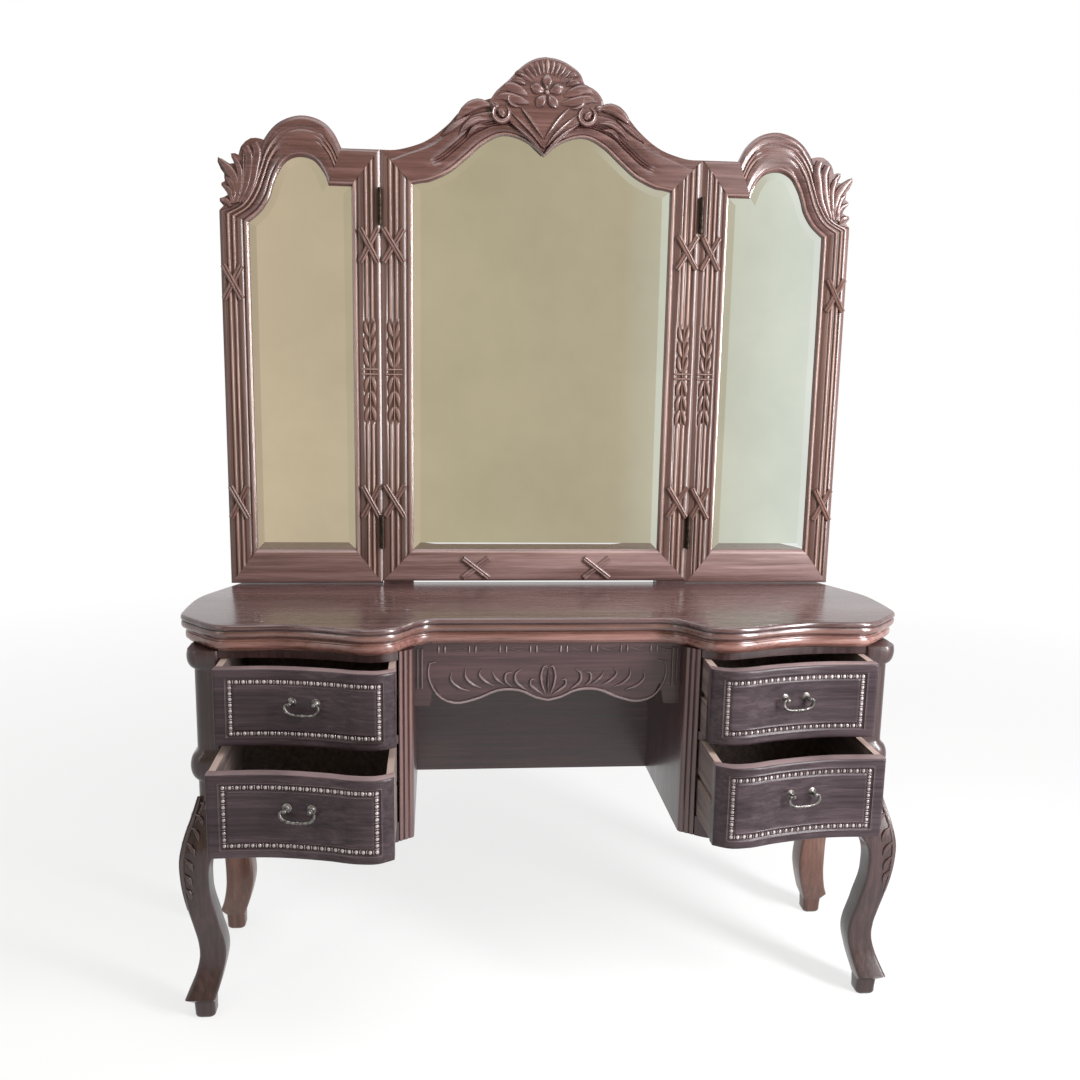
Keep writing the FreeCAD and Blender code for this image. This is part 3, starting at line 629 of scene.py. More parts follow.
# %% Rails
centre_rail = member("centre_rail", [(-centre_sight, sight_low), (centre_sight, sight_low)],
                     [(-centre_half, frame_low), (centre_half, frame_low)], *plain_profile)
rail_ties = [strap for x in (-130, 130) for strap in ribbon_tie(x, 815, half_width=27, reach=21, seat=-1)]
finish(join("moulded_centre_bottom_rail", [centre_rail] + rail_ties), rail_wood, "desk", "mahogany_frame",
       "centre_bottom_rail")
for side, sign in sides:
    inner = [(sign * wing_sight_in, sight_low), (sign * wing_sight_out, sight_low)]
    outer = [(sign * wing_start, frame_low - wing_drop), (sign * wing_end, frame_low - wing_drop)]
    finish(member("moulded_%s_wing_bottom_rail" % side, inner, outer, *plain_profile), rail_wood,
           side + "_wing", "mahogany_frame", side + "_wing_bottom_rail")

# %% [markdown]
# ## Arched top of the centre mirror
# The arch rises in an ogee from each shoulder and dips to a point in the middle. Pairs of points, one on the
# sight edge and one on the outer edge, steer a section round it. The shoulders are plain, then two fine beads
# set in. They keep close to the glass near the middle and leave a plain field above, where the crest is
# carved.

# %% Centre arch
centre_stations = ((centre_sight, 1597, centre_half, 1661), (248, 1600, 300, 1661), (226, 1604, 255, 1672),
                   (190, 1621, 226, 1686), (156, 1648, 193, 1712), (121, 1678, 160, 1745),
                   (80, 1696, 104, 1766), (45, 1689, 60, 1777), (20, 1675, 25, 1781),
                   (0, 1658, 0, 1782))
arch_half = smooth(centre_stations, 44)
arch = np.concatenate([arch_half, arch_half[-2::-1] * [-1, 1, -1, 1]])
arch_width = np.hypot(arch[:, 2] - arch[:, 0], arch[:, 3] - arch[:, 1])
reed_width = np.minimum(arch_width, np.interp(np.abs(arch[:, 0]), [0, 90, 130], [46, 52, 66]))
broad = np.array([(0, 9, -0.2), (0.025, 6.5, 0.6), (0.06, 2.4, 1), (0.1, 2.4, 0.7), (0.125, 4.2, -0.8),
                  (0.16, 2, 0), (0.27, 0.4, 0.5), (0.38, 1.8, 0), (0.415, 5, -1), (0.455, 1.6, 0.9),
                  (0.495, 5, -1), (0.535, 1.6, 0.9), (0.575, 5, -1), (0.63, 1.8, 0), (0.78, 0, 0.5),
                  (0.92, 1.6, 0), (0.985, 5, -0.8), (1, 5, -0.3)]).T
share, depth, tone = blended(np.abs(arch[:, 0]), ((185, broad), (228, plain_profile)))
field, field_depth = np.ones((len(arch), 1)), 4.2
share = np.concatenate([share * (reed_width / arch_width)[:, None], field], axis=1)
depth = np.concatenate([depth, field_depth * field], axis=1)
tone = np.concatenate([tone, 0 * field], axis=1)
arch_rail = member("reeded_arch", arch[:, :2], arch[:, 2:], share, depth, tone)
spray = (
    (((108, 1, 1752), (134, 0, 1753), (158, 0, 1740), (176, 2, 1720)), (3, 10, 11, 8, 1)),
    (((109, 1, 1724), (134, 0, 1724), (156, 1, 1711), (172, 2, 1692)), (1, 6.5, 8, 6, 0.5)),
    (((113, 2, 1711), (134, 1, 1710), (155, 2, 1690)), (1, 5, 6, 0.5)),
    (((146, 1, 1732), (176, 1, 1712), (204, 2, 1690)), (1, 6, 7, 0.5)),
)
carving = [plume(side, widths, 7, crease=0.3, shine=0.6)
           for path, widths in spray for side in both_sides(path)]
finish(join("carved_centre_top_rail", [arch_rail] + carving), level_wood, "desk", "mahogany_frame",
       "centre_top_rail")

# %% [markdown]
# ## Carved crest
# A shell stands over the dip, with a flower at its heart and a scroll curling out on each side. The ground
# is a board sawn to the crest's outline. The flutes of the shell are plumes that fan out from the flower
# and swell towards the rim, and each scroll is a plume bent into a ring. The outline is not quite even, so
# the upper strokes on the left are drawn in a little.

# %% Crest
crest_top, crest_thick = drawn("centre_crest")[1][2], 22.5
right_rim = smooth([(106, 1744), (116, 1752), (118, 1762), (113, 1774), (103, 1785), (91, 1792), (81, 1795),
                    (77, 1801), (73, 1811), (66, 1820), (55, 1828), (41, 1836), (24, 1842),
                    (0, crest_top)], 46)
left_rim = smooth([(0, crest_top), (-17, 1842), (-33, 1835), (-46, 1826), (-59, 1814), (-72, 1800),
                   (-85, 1789), (-96, 1779), (-105, 1767), (-111, 1756), (-106, 1744)], 34)
right_point = smooth([(0, 1672), (35, 1698), (70, 1722), (106, 1744)], 16)
outline = np.concatenate([right_point[:-1], right_rim, left_rim[1:], right_point[-2:0:-1] * [-1, 1]])
ground = plate("crest_ground", standing(outline, carved_back), (0, -crest_thick, 0))
mould(ground, ((0.8, 1.6), (1.4, 1), (2.5, 0.4)))
heart = np.array([4, -3.5, 1778])
shell_foot, left_share = 1745, 0.92


def spoke(degrees):
    """A direction on the upright plane."""
    turn = np.radians(degrees)
    return np.array([np.cos(turn), 0, np.sin(turn)])


carving = [ground]
for degrees in np.linspace(32, 148, 11):
    way = spoke(degrees)
    shine = 0.85 if abs(way[0]) < 0.2 else 0.45
    flute = [heart + way * reach for reach in (36, 48, 61)]
    carving.append(plume(flute, (1.5, 3.4, 5, 5.4, 3.4), 3, shine=shine))
for degrees in range(90, 450, 72):
    way = spoke(degrees)
    petal = [heart + way * 6, heart + way * 18 - [0, 2, 0], heart + way * 34]
    carving.append(plume(petal, (2.5, 8, 11, 10.6, 3.5), 5.5, crease=0.4, count=15, shine=0.6))
for degrees in (0, 60, 120):
    stamen = [heart + spoke(degrees) * reach - [0, 2, 0] for reach in (-5, 5)]
    carving.append(plume(stamen, (1, 3.4, 3.4, 1), 4.5, count=9))
scroll_ring = [spoke(degrees) * 16 + [86, -3, 1737] for degrees in np.linspace(125, 430, 12)]
crest_strokes = (
    (((44, -3, 1806), (56, -4, 1813), (66, -3, 1811)), (2, 6, 6, 2), 0.4),
    (((42, -3, 1792), (58, -4, 1799), (71, -3, 1797)), (2, 7, 7, 2), 0.4),
    (((38, -3, 1772), (58, -5, 1781), (80, -4, 1786), (98, -3, 1779)), (3, 9, 11, 9, 1), 0.4),
    (((34, -3, 1757), (62, -5, 1763), (88, -4, 1768), (109, -3, 1763)), (3, 9, 10, 8, 1), 0.4),
    (((52, -3, 1750), (66, -5, 1751), (78, -5, 1760), (75, -5, 1771), (66, -5, 1770)),
     (1, 4, 4.4, 3.6, 1.5), 0.7),
    (scroll_ring, (2, 4.8, 5.2, 5.2, 4.8, 2), 0.85),
    (((81, -4, 1730), (91, -5, 1743)), (4, 8, 4), 0.75),
    (((100, -3, 1748), (109, -3, 1752), (116, -2, 1757)), (2, 7, 6, 2), 0.4),
    (((1, -3, 1690), (15, -5, 1709), (31, -5, 1730), (49, -4, 1750)), (1.2, 3.6, 4.6, 3.8, 1), 1),
    (((4, -3, 1676), (24, -5, 1700), (44, -5, 1719), (66, -4, 1737)), (1.2, 3.6, 4.6, 3.8, 1), 0.95),
    (((2, -2, 1663), (24, -4, 1687), (46, -4, 1705), (68, -3, 1720)), (1.2, 3.6, 4.4, 3.6, 1), 0.55),
)
for path, widths, shine in crest_strokes:
    right, left = both_sides(path)
    if right[:, 2].min() > shell_foot:
        left[:, 0] *= left_share
    carving += [plume(side, widths, 6, crease=0.25, count=19, shine=shine) for side in (right, left)]
finish(join("carved_crest", carving), level_wood, "desk", "mahogany_frame", "centre_crest")

# %% [markdown]
# ## Arched tops of the wings
# A wing's arch starts ridged beside its shoulder, is smooth over the crown with one fillet, and takes up the
# stile's section where it sweeps down. So its section blends from one profile to the next along the way. A
# plain block fills the shoulder beside the hinge, and a spray of leaves grows from the outer corner.

# %% Wing tops
wing_stations = ((429, 1590, 402, 1661), (436, 1610, 417, 1690), (455, 1635, 440, 1711),
                 (485, 1643, 480, 1720), (512, 1632, 524, 1705), (529, 1607, 553, 1672),
                 (538, 1585, 570, 1628), (545, 1563, 588, 1585), (562, 1537, 610, 1552),
                 (587, 1515, 643, 1536))
crown = np.array([(0, 9, -0.2), (0.03, 7, 0.3), (0.09, 2.8, 0.7), (0.12, 3.2, -0.3), (0.16, 2.2, 0),
                  (0.32, 0.8, 0.2), (0.5, 0.5, 0.2), (0.62, 1.2, 0), (0.66, 2.2, -0.6), (0.7, 1.4, 0.3),
                  (0.74, 2, -0.5), (0.8, 0.7, 0.2), (0.88, 0, 0.45), (0.95, 1.4, 0), (0.985, 3.6, -0.2),
                  (1, 4.4, -0.3)]).T
ridged = np.array([(0, 9, -0.2), (0.03, 7, 0.4), (0.09, 2.6, 1), (0.115, 3.4, -0.4), (0.14, 2.6, 0),
                   (0.3, 0.8, 0.3), (0.44, 1.4, 0), (0.47, 3.8, -1), (0.5, 1.6, 0.9), (0.56, 1.6, 0.6),
                   (0.59, 4, -1), (0.62, 1.8, 0.9), (0.67, 1.8, 0.5), (0.7, 4.2, -1), (0.73, 2, 0.6),
                   (0.86, 0, 0.6), (0.97, 3, 0), (1, 4.4, -0.3)]).T
leaf_thick = 18
leaf_ground = ((553, 1672), (560, 1674), (568, 1675), (578, 1674), (588, 1668), (597, 1658), (600, 1650),
               (602, 1642), (609, 1645), (617, 1644), (614, 1633), (611, 1626), (619, 1625), (629, 1629),
               (642, 1637), (643, 1628), (637, 1614), (631, 1606), (631, 1598), (630, 1592), (637, 1588),
               (637, 1583), (629, 1578), (622, 1572), (625, 1566), (632, 1562), (641, 1559), (641, 1553),
               (634, 1545), (642, 1537), (612, 1545), (592, 1575), (572, 1620))
leaf_plumes = (
    (((597, 1553), (579, 1586), (570, 1626), (566, 1652), (571, 1665)), (3, 7.5, 9.5, 10.5, 8), 0.5),
    (((603, 1552), (590, 1585), (583, 1618), (582, 1643), (588, 1657)), (3, 8, 9.5, 10, 8), 0.5),
    (((606, 1552), (598, 1572), (593, 1600), (592, 1625), (591, 1645)), (1, 2.2, 2.6, 2.2, 0.8), 1),
    (((608, 1552), (601, 1585), (600, 1610), (605, 1627), (613, 1640)), (3, 6.5, 7.5, 7, 4), 0.55),
    (((613, 1551), (608, 1580), (613, 1601), (624, 1617), (638, 1631)), (3, 8, 10, 9.5, 4.5), 0.55),
    (((617, 1550), (614, 1572), (618, 1588), (627, 1599)), (3, 6.5, 8, 7, 3.5), 0.5),
    (((619, 1549), (618, 1563), (623, 1575), (634, 1584)), (3, 5.5, 6.5, 6, 3), 0.55),
    (((620, 1544), (624, 1550), (630, 1555), (638, 1556)), (3, 5.5, 6.5, 5.5, 3), 0.55),
)
sweep = smooth(wing_stations, 52)
wing_marks = ((0.1, ridged), (0.25, crown), (0.34, crown), (0.54, reeded))
profile = blended(np.linspace(0, 1, len(sweep)), wing_marks)
for side, sign in sides:
    turned = sweep * [sign, 1, sign, 1]
    pieces = [member("wing_arch", turned[:, :2], turned[:, 2:], *profile)]
    block_inner = [(sign * wing_sight_in, shoulder), (sign * wing_stations[0][0], shoulder)]
    block_outer = [(sign * wing_start, shoulder_top), (sign * wing_stations[0][2], shoulder_top)]
    pieces.append(member("shoulder_block", block_inner, block_outer, *plain_profile))
    ground = standing(np.array(leaf_ground) * [sign, 1], carved_back)
    pieces.append(plate("leaf_ground", ground, (0, -leaf_thick, 0)))
    for path, widths, shine in leaf_plumes:
        leaf = standing(np.array(path) * [sign, 1], 3.5)
        pieces.append(plume(leaf, widths, 7.5, crease=0.15, count=17, sink=12, shine=shine))
    finish(join("carved_%s_wing_top_rail" % side, pieces), level_wood, side + "_wing", "mahogany_frame",
           side + "_wing_top_rail")

# %% [markdown]
# ## Bevelled mirror glass
# Each mirror is plate glass with a broad bevel ground all round. A plate is sawn to the sight's outline, a
# little larger so that it sits in the rebate, and one inset of its front face grinds the bevel. Flat shading
# keeps the bevel's edge crisp.

# %% Mirrors
tuck, bevel_width, bevel_fall, glass_back, glass_clear = 6, 14, 0.9, 14, 0.3


def mirror(name, arch_pairs, left_x, right_x, body, node_name):
    """A pane whose top follows the sight edge of an arch, from the left to the right."""
    inner, outer = arch_pairs[:, :2], arch_pairs[:, 2:]
    away = unit(outer - inner)
    low = sight_low - tuck
    outline = np.concatenate([[(right_x + tuck, low), (left_x - tuck, low)], inner + away * tuck])
    pane = plate(name, standing(outline, glass_back),
                 (0, glass_seat + glass_clear + bevel_fall - glass_back, 0))
    mould(pane, ((bevel_width + tuck, bevel_fall),))
    finish(pane, silver, body, "mirror_glass", node_name, angle=0.5)


corner_clear = 4
pane_edge = np.concatenate([arch[:1], arch[corner_clear:-corner_clear], arch[-1:]])
mirror("bevelled_centre_mirror", pane_edge[::-1], -centre_sight, centre_sight, "desk", "centre_mirror_glass")
corner_pair = np.array([(wing_sight_in, shoulder, wing_start, shoulder_top)])
wing_edge = np.concatenate([corner_pair, sweep[:-corner_clear], sweep[-1:]])
mirror("bevelled_right_mirror", wing_edge, wing_sight_in, wing_sight_out, "right_wing",
       "right_wing_mirror_glass")
mirror("bevelled_left_mirror", wing_edge[::-1] * [-1, 1, -1, 1], -wing_sight_out, -wing_sight_in, "left_wing",
       "left_wing_mirror_glass")

# %% [markdown]
# ## Table top and the moulding under it
# The top is one broad board with a kidney outline and eased, canted corners. Its edge has a round, a groove
# and a second round below, so it is a skin of outlines one above the other, each set back as the moulding
# asks. The board is drawn too long at the back and sawn off straight with a bisect, so that the back edge
# stays square. The moulding under it is a strip, so its section is swept along the same outline, set a
# little back.

# %% Table top
slab_low, slab_high = drawn("table_top")
band_low, band_high = drawn("under_top_moulding")
half_top, back_edge = slab_high[0], slab_high[1]
spare, strip_depth, evened = 30, 38, 7
side_line = [(half_top - 66, back_edge), (half_top - 34, -48), (half_top - 8, -112), (half_top, -190),
             (half_top - 0.5, -246)]
cant = [(half_top - 0.8, -252), (half_top - 4, -267), (half_top - 12.5, -281), (half_top - 37, -309),
        (half_top - 62, -336), (half_top - 81, -350), (half_top - 101, -355)]
front_line = [(584, -355), (550, -354.5), (500, -351), (450, -359), (400, -375), (370, -386), (338, -393),
              (308, -389), (285, -377), (265, -353), (250, -331), (232, -316), (213, -310),
              (190, -310)]
right_edge = np.concatenate([[(half_top - 80, back_edge + spare)], smooth(side_line, 50), smooth(cant, 30),
                             smooth(front_line, 76)])
top_outline = np.concatenate([right_edge, right_edge[::-1] * [-1, 1]])
along = np.gradient(top_outline, axis=0)
along = np.stack([np.convolve(np.pad(line, evened // 2, "edge"), np.ones(evened) / evened, "valid")
                  for line in along.T], axis=1)
inwards = unit(np.stack([along[:, 1], -along[:, 0]], axis=1))


def saw_back(piece):
    """Cuts a piece off square at the back edge of the top."""
    edit_all(piece)
    cut = (0, back_edge / 1000 + mirror_front[1], 0)
    bpy.ops.mesh.bisect(plane_co=cut, plane_no=(0, 1, 0), use_fill=True, clear_outer=True)
    object_mode()


# Rows are (setback, height, tone); the tone paints the rounds pale and the groove dark, as painted highlight
# and shade.
slab_edge = np.array([(9, 0, -0.4), (6, 1.2, 0), (3, 3, 0.6), (1.2, 6, 0.9), (0.6, 10, 1), (1.2, 13.2, 0.8),
                      (2.2, 15, 0), (3.6, 15.6, -0.9), (3.6, 16.4, -0.9), (1.6, 17.2, 0), (0.4, 18.6, 0.4),
                      (0, 20.6, 0.5), (0.2, 22.6, 0.5), (1, 24.6, 0.4), (2.4, 26, 0.2), (4.2, 26.8, 0),
                      (6.5, 27, 0)])
net = np.empty((len(slab_edge), len(top_outline), 3))
net[..., :2] = top_outline + inwards * slab_edge[:, :1, None]
net[..., 2] = slab_low[2] + slab_edge[:, 1:2]
slab = skin("moulded_table_top", net, slab_edge[:, 2:])
saw_back(slab)
finish(slab, top_wood, "desk", "mahogany_top", "table_top", angle=30)

band_floor, band_roof = band_low[2], band_high[2]
band_profile = np.array([(18, 0), (15, 1.5), (12.6, 4.5), (11.4, 6), (9.6, 7), (8.4, 9.5), (8, 13),
                         (8, 16.5), (8.6, 19), (10.4, 20.5), (10.8, 22), (14, 25), (40, 25),
                         (40, 0)])
# The band's tone paints its rounds pale and its grooves dark, as painted highlight and shade.
band_tone = np.array([-0.4, 0, 0.2, -0.6, 0, 0.3, 0.4, 0.4, 0.2, -0.6, 0, 0, 0, 0])
net = np.empty((len(top_outline), len(band_profile), 3))
net[..., :2] = top_outline[:, None] + inwards[:, None] * band_profile[None, :, :1]
net[..., 2] = band_floor + band_profile[:, 1]
band_ring = skin("band_ring", net, band_tone)
saw_back(band_ring)
strip_half = top_outline[1][0] - band_profile[:, 0].max() + 2
strip = [(x, y, band_floor) for x, y in ((-strip_half, back_edge - strip_depth),
                                         (strip_half, back_edge - strip_depth),
                                         (strip_half, back_edge), (-strip_half, back_edge))]
band_back = plate("band_back", strip, (0, 0, band_roof - band_floor))
band = join("moulded_band", [band_ring, band_back])
finish(band, band_wood, "desk", "mahogany_top", "under_top_moulding", angle=35)

# %% [markdown]
# ## Cabriole legs
# A cabriole leg is sawn to one S from the front and to the same S from the side, then eased at its edges.
# Some hundred and thirty rounded squares, one above the other, follow both curves. Each front post carries
# two carved bosses, and leaves run down the outer corner of its knee.

# %% Legs
pad_high, toe_high, case_low, knee_high, case_high = 33, 46, 358, 440, 728
pad_half, pad_top, foot_ease = 19, 20, 3.5
leg_x, post_in_x = 655, 608
front_curves = (((34, 46), (26, 64), (15, 92), (9, 120), (10, 150), (16, 185), (25, 232), (32, 300),
                 (31, 342), (17, 392)),
                ((-19, 32), (-34, 84), (-41, 122), (-30, 200), (-19, 270), (-24, 325)))
rear_curves = (((32, 46), (25, 64), (18, 92), (14, 120), (14, 150), (17, 185), (24, 232), (31, 300),
                (31, 342), (17, 392)),
               ((-19, 32), (-36, 84), (-44, 122), (-36, 200), (-27, 270), (-28, 325)))
foot_heights = (0, 1, 3, 6, 14, 26, 32, pad_high, 36, 40, 43, toe_high)
heights = np.concatenate([foot_heights, np.linspace(49, knee_high, 60), np.linspace(452, case_high, 60)])
# Bosses are (height, reach) pairs, leaves on a knee (height, inset, fall) rows
bosses = ((716, 24), (505, 27))
boss_side, boss_front, boss_round, post_round = 13, 7, 4, 13
corner_round, foot_round, foot_fade = 6, 3, 18
knee_stem = (446, 410, 370, 330, 290, 250, 225)
stem_inset, leaf_inset = 5, 6
knee_rows = ((436, 20, 14), (414, 25, 20), (390, 28, 24), (364, 28, 26), (336, 25, 28), (306, 20, 30),
             (276, 14, 28))


def leg_sides(z, curves, centre, outward, post_out, post_in):
    """The outer and inner face of a leg at each height, as seen from one side."""
    outer = [*curves[0], ((post_out - centre) * outward, knee_high)]
    inner = [*curves[1], ((post_in - centre) * outward, case_low)]
    lines = [smooth(curve, 120) for curve in (outer, inner)]
    faces = [np.interp(z, line[:, 1], line[:, 0]) for line in lines]
    toe = np.interp(z, (0, pad_high, toe_high), (pad_half, pad_top, faces[0][z >= toe_high][0]))
    ease = foot_ease * np.clip(1 - z / 6, 0, 1) ** 2
    faces[0] = np.where(z < toe_high, toe - ease, faces[0])
    faces[1] = np.where(z <= pad_high, ease - pad_half, faces[1])
    return centre + outward * faces[0], centre + outward * faces[1]


def rounded_rings(x_out, x_in, y_out, y_in, z, corner):
    """Rings of rectangles with rounded corners; corner holds four radii for each height."""
    rings = []
    for k, (x, y, ex, ey) in enumerate(((x_out, y_out, x_in, y_in), (x_in, y_out, x_out, y_in),
                                        (x_in, y_in, x_out, y_out), (x_out, y_in, x_in, y_out))):
        way_x, way_y = np.sign(ex - x), np.sign(ey - y)
        angles = np.linspace(0, np.pi / 2, 6)
        if k % 2:
            angles = angles[::-1]
        for angle in angles:
            radius = corner[:, k]
            rings.append(np.stack([x + way_x * radius * (1 - np.cos(angle)),
                                   y + way_y * radius * (1 - np.sin(angle)), z], axis=1))
    return np.stack(rings, axis=1)


def knee_leaves(x_face, y_face, outward_y):
    """Leaf strokes on both outer faces of a knee, hung on a line down its corner."""
    def on_front(inset, z):
        return np.interp(z, heights, x_face) - inset, np.interp(z, heights, y_face), z

    def on_side(inset, z):
        return np.interp(z, heights, x_face), np.interp(z, heights, y_face) - outward_y * inset, z

    strokes = []
    for face, out in ((on_front, (0, outward_y, 0)), (on_side, (1, 0, 0))):
        stem = [face(stem_inset, z) for z in knee_stem]
        strokes.append(plume(stem, (1, 3, 3.5, 3, 0.6), 2.4, out=out, count=21, sink=8, shine=0.6))
        for z, inset, fall in knee_rows:
            leaf = [face(leaf_inset, z), face(leaf_inset + 0.45 * inset, z - 0.35 * fall),
                    face(inset, z - fall)]
            strokes.append(plume(leaf, (1.5, 5, 5, 0.5), 4.2, out=out, crease=0.3, count=9, sink=6,
                                 shine=0.9))
    return strokes


def leg(name, sign, foot_y, outward_y, post_out, post_in, front):
    """A leg with its post, drawn on the right and mirrored for the left."""
    curves = front_curves if front else rear_curves
    x_out, x_in = leg_sides(heights, curves, leg_x, 1, leg_x, post_in_x)
    y_out, y_in = leg_sides(heights, curves, foot_y, outward_y, post_out, post_in)
    post = np.clip((heights - case_low) / (knee_high - case_low), 0, 1)
    foot = np.clip((pad_high - heights) / foot_fade, 0, 1)
    corner = np.full((len(heights), 4), corner_round) + foot_round * foot[:, None]
    carving = []
    if front:
        corner[:, 0] += post_round * post
        for boss, reach in bosses:
            swell = np.sqrt(np.clip(1 - ((heights - boss) / reach) ** 2, 0, 1))
            x_out = x_out + boss_side * swell
            y_out = y_out + outward_y * boss_front * swell
            corner[:, 0] += boss_round * swell
        carving = knee_leaves(x_out, y_out, outward_y)
    net = rounded_rings(x_out, x_in, y_out, y_in, heights, corner)
    # The leg's tone grows darker towards the foot.
    body = skin(name, net, np.interp(heights, (0, 50, 220), (-0.8, -0.6, 0))[:, None])
    if sign < 0:
        for piece in [body] + carving:
            lay(piece, as_drawn(points_of(piece)) * [-1, 1, 1])
            close(piece)
    wood = leg_wood if front else rear_wood
    finish(join(name, [body] + carving), wood, "desk", "mahogany_case", name.replace("cabriole_", ""))


for side, sign in sides:
    leg("cabriole_front_%s_leg" % side, sign, foot_y=-322, outward_y=-1, post_out=-331, post_in=-271,
        front=True)
    leg("cabriole_rear_%s_leg" % side, sign, foot_y=10, outward_y=1, post_out=22, post_in=-38, front=False)

# %% [markdown]
# ## Kneehole apron
# The apron is a thin board with a scalloped edge. A raised line follows the scallops and curls up at the
# ends, a palmette stands in the middle, scrolls and leaves lie beside it, and a row of ticks runs under the
# top.

# %% Apron
apron_low, apron_high = drawn("kneehole_apron")
half_apron, apron_floor, apron_face = apron_high[0], apron_low[2], apron_low[1]
scallop = [(0.851, 43), (0.792, 16), (0.682, 5), (0.537, 14), (0.333, 31), (0.188, 27), (0.0, 9)]
right_scallop = smooth([(share * half_apron, apron_floor + rise) for share, rise in scallop], 34)
apron_corner = [(half_apron, apron_high[2]), (half_apron, apron_floor), (half_apron - 29, apron_floor)]
right_apron = np.concatenate([apron_corner, right_scallop])
outline = np.concatenate([right_apron, right_apron[-2::-1] * [-1, 1]])
ground = plate("apron_ground", standing(outline, apron_high[1]), (0, apron_low[1] - apron_high[1], 0))
carving = [ground]
tick_span, tick_count = 203, 8
edge_line = [(214, 692), (224, 690), (228, 668), (220, 641), (206, 622), (178, 611), (140, 618), (92, 636),
             (52, 634), (22, 620), (0, 615)]
apron_strokes = (
    (edge_line, (1.5, 2.4, 3, 3.2, 3.2, 2.8)),
    (((240, 718), (240, 640)), (2.2, 2.2)),
    (((248, 718), (248, 640)), (1.6, 1.6)),
    (((0, 628), (0, 650), (0, 676)), (1.2, 3.4, 3, 0.5)),
    (((5, 628), (12, 648), (13, 668), (6, 682), (1, 678)), (1.2, 3.4, 3.6, 3, 0.8)),
    (((9, 626), (24, 636), (34, 646), (32, 656), (25, 654)), (1, 3.4, 3.6, 2.6, 0.8)),
    (((40, 634), (52, 642), (62, 652), (62, 668), (52, 676)), (1, 3.2, 3.8, 3, 0.6)),
    (((70, 642), (82, 654), (80, 668), (70, 670)), (1, 3.2, 3, 0.8)),
    (((84, 646), (100, 658), (108, 672)), (1, 3.6, 0.5)),
    (((104, 644), (122, 654), (132, 668), (126, 678)), (1, 3.6, 3, 0.5)),
    (((128, 640), (146, 648), (158, 662), (158, 678)), (1, 3.6, 3.2, 0.5)),
    (((150, 634), (172, 642), (186, 658), (184, 672)), (1, 3.4, 3, 0.5)),
)
# The carved strokes are painted pale, the edge line most, as painted highlight with some rubbing.
for path, widths in apron_strokes:
    shine = 0.9 if path is edge_line else 0.68
    for side in both_sides(standing(path, apron_face)):
        carving.append(plume(side, widths, 4.4, crease=0.15, count=25, shine=shine))
for x in np.linspace(-tick_span, tick_span, tick_count):
    for reach in (-6, 6):
        tick = [(x + reach, apron_face, z) for z in (722, 709)]
        carving.append(plume(tick, (1.2, 2.4, 1.2), 2.8, count=7, shine=0.9))
    swag = [(x + reach, apron_face, z) for reach, z in ((12, 718), (29, 713), (46, 718))]
    carving.append(plume(swag, (0.6, 1.4, 0.6), 1.6, shine=0.6))
finish(join("carved_kneehole_apron", carving), apron_wood, "desk", "mahogany_case", "kneehole_apron")

# %% [markdown]
# ## Bowed drawer fronts
# The fronts follow the serpentine bow of the case. Each is a skin over upright rings, so that its edges can
# be eased and a shallow channel sunk for the beads. One bead and one tick are modelled, an array modifier
# runs them along the channel, and every bead then steps forward or back with the bow.

# %% Bow of the case front
case_bow = ((0, 0), (0.08, 0.53), (0.17, 1), (0.255, 0.97), (0.41, 0.53), (0.69, 0), (1, 0))
knee_x, post_x = drawn("right_inner_side")[0][0], drawn("right_front_rails")[1][0]
case_front, bulge = -331, 36
bow_marks = [(knee_x + share * (post_x - knee_x), case_front - swell * bulge) for share, swell in case_bow]
bow_line = smooth(bow_marks, 400)
# Half sizes of a bead and of a tick, along the level and the upright parts of the channel
level_sizes = ((3.4, 2.6, 3.8), (0.9, 1.6, 4))
upright_sizes = ((3.4, 2.6, 3.4), (3.6, 1.6, 0.9))


def bow(x):
    """Depth of the shut case front at a distance from the middle of the desk."""
    return np.interp(np.abs(x), bow_line[:, 0], bow_line[:, 1])


def bead_row(first, last, count):
    """Beads with a tick after each, from one spot to another on the flat drawing of a front."""
    step = (np.array(last) - first) / count
    balls = []
    for size, share in zip(upright_sizes if abs(step[1]) > abs(step[0]) else level_sizes, (0, 0.5)):
        ball = begin("bead", bpy.ops.mesh.primitive_uv_sphere_add, segments=8, ring_count=6, radius=0.001)
        x, z = first + share * step
        lay(ball, points_of(ball) * 1000 * size + [x, 0, z])
        balls.append(ball)
    row = join("beads", balls)
    bpy.ops.object.modifier_add(type="ARRAY")
    array = row.modifiers[-1]
    array.count = count
    array.use_relative_offset = False
    array.use_constant_offset = True
    array.constant_offset_displace = (step[0] / 1000, 0, step[1] / 1000)
    bpy.ops.object.modifier_apply(modifier=array.name)
    return row


# %% Drawer fronts
channel_half, channel_wall, channel_depth = 6.5, 1.2, 1.8
fillet_off, fillet_width = 1.4, 0.9
border_side, border_top = 29, 23
beads_across, beads_down, bead_seat = 22, 9, 1.4
eased, edge_fall, edge_back = 3.5, 2.4, 1.2


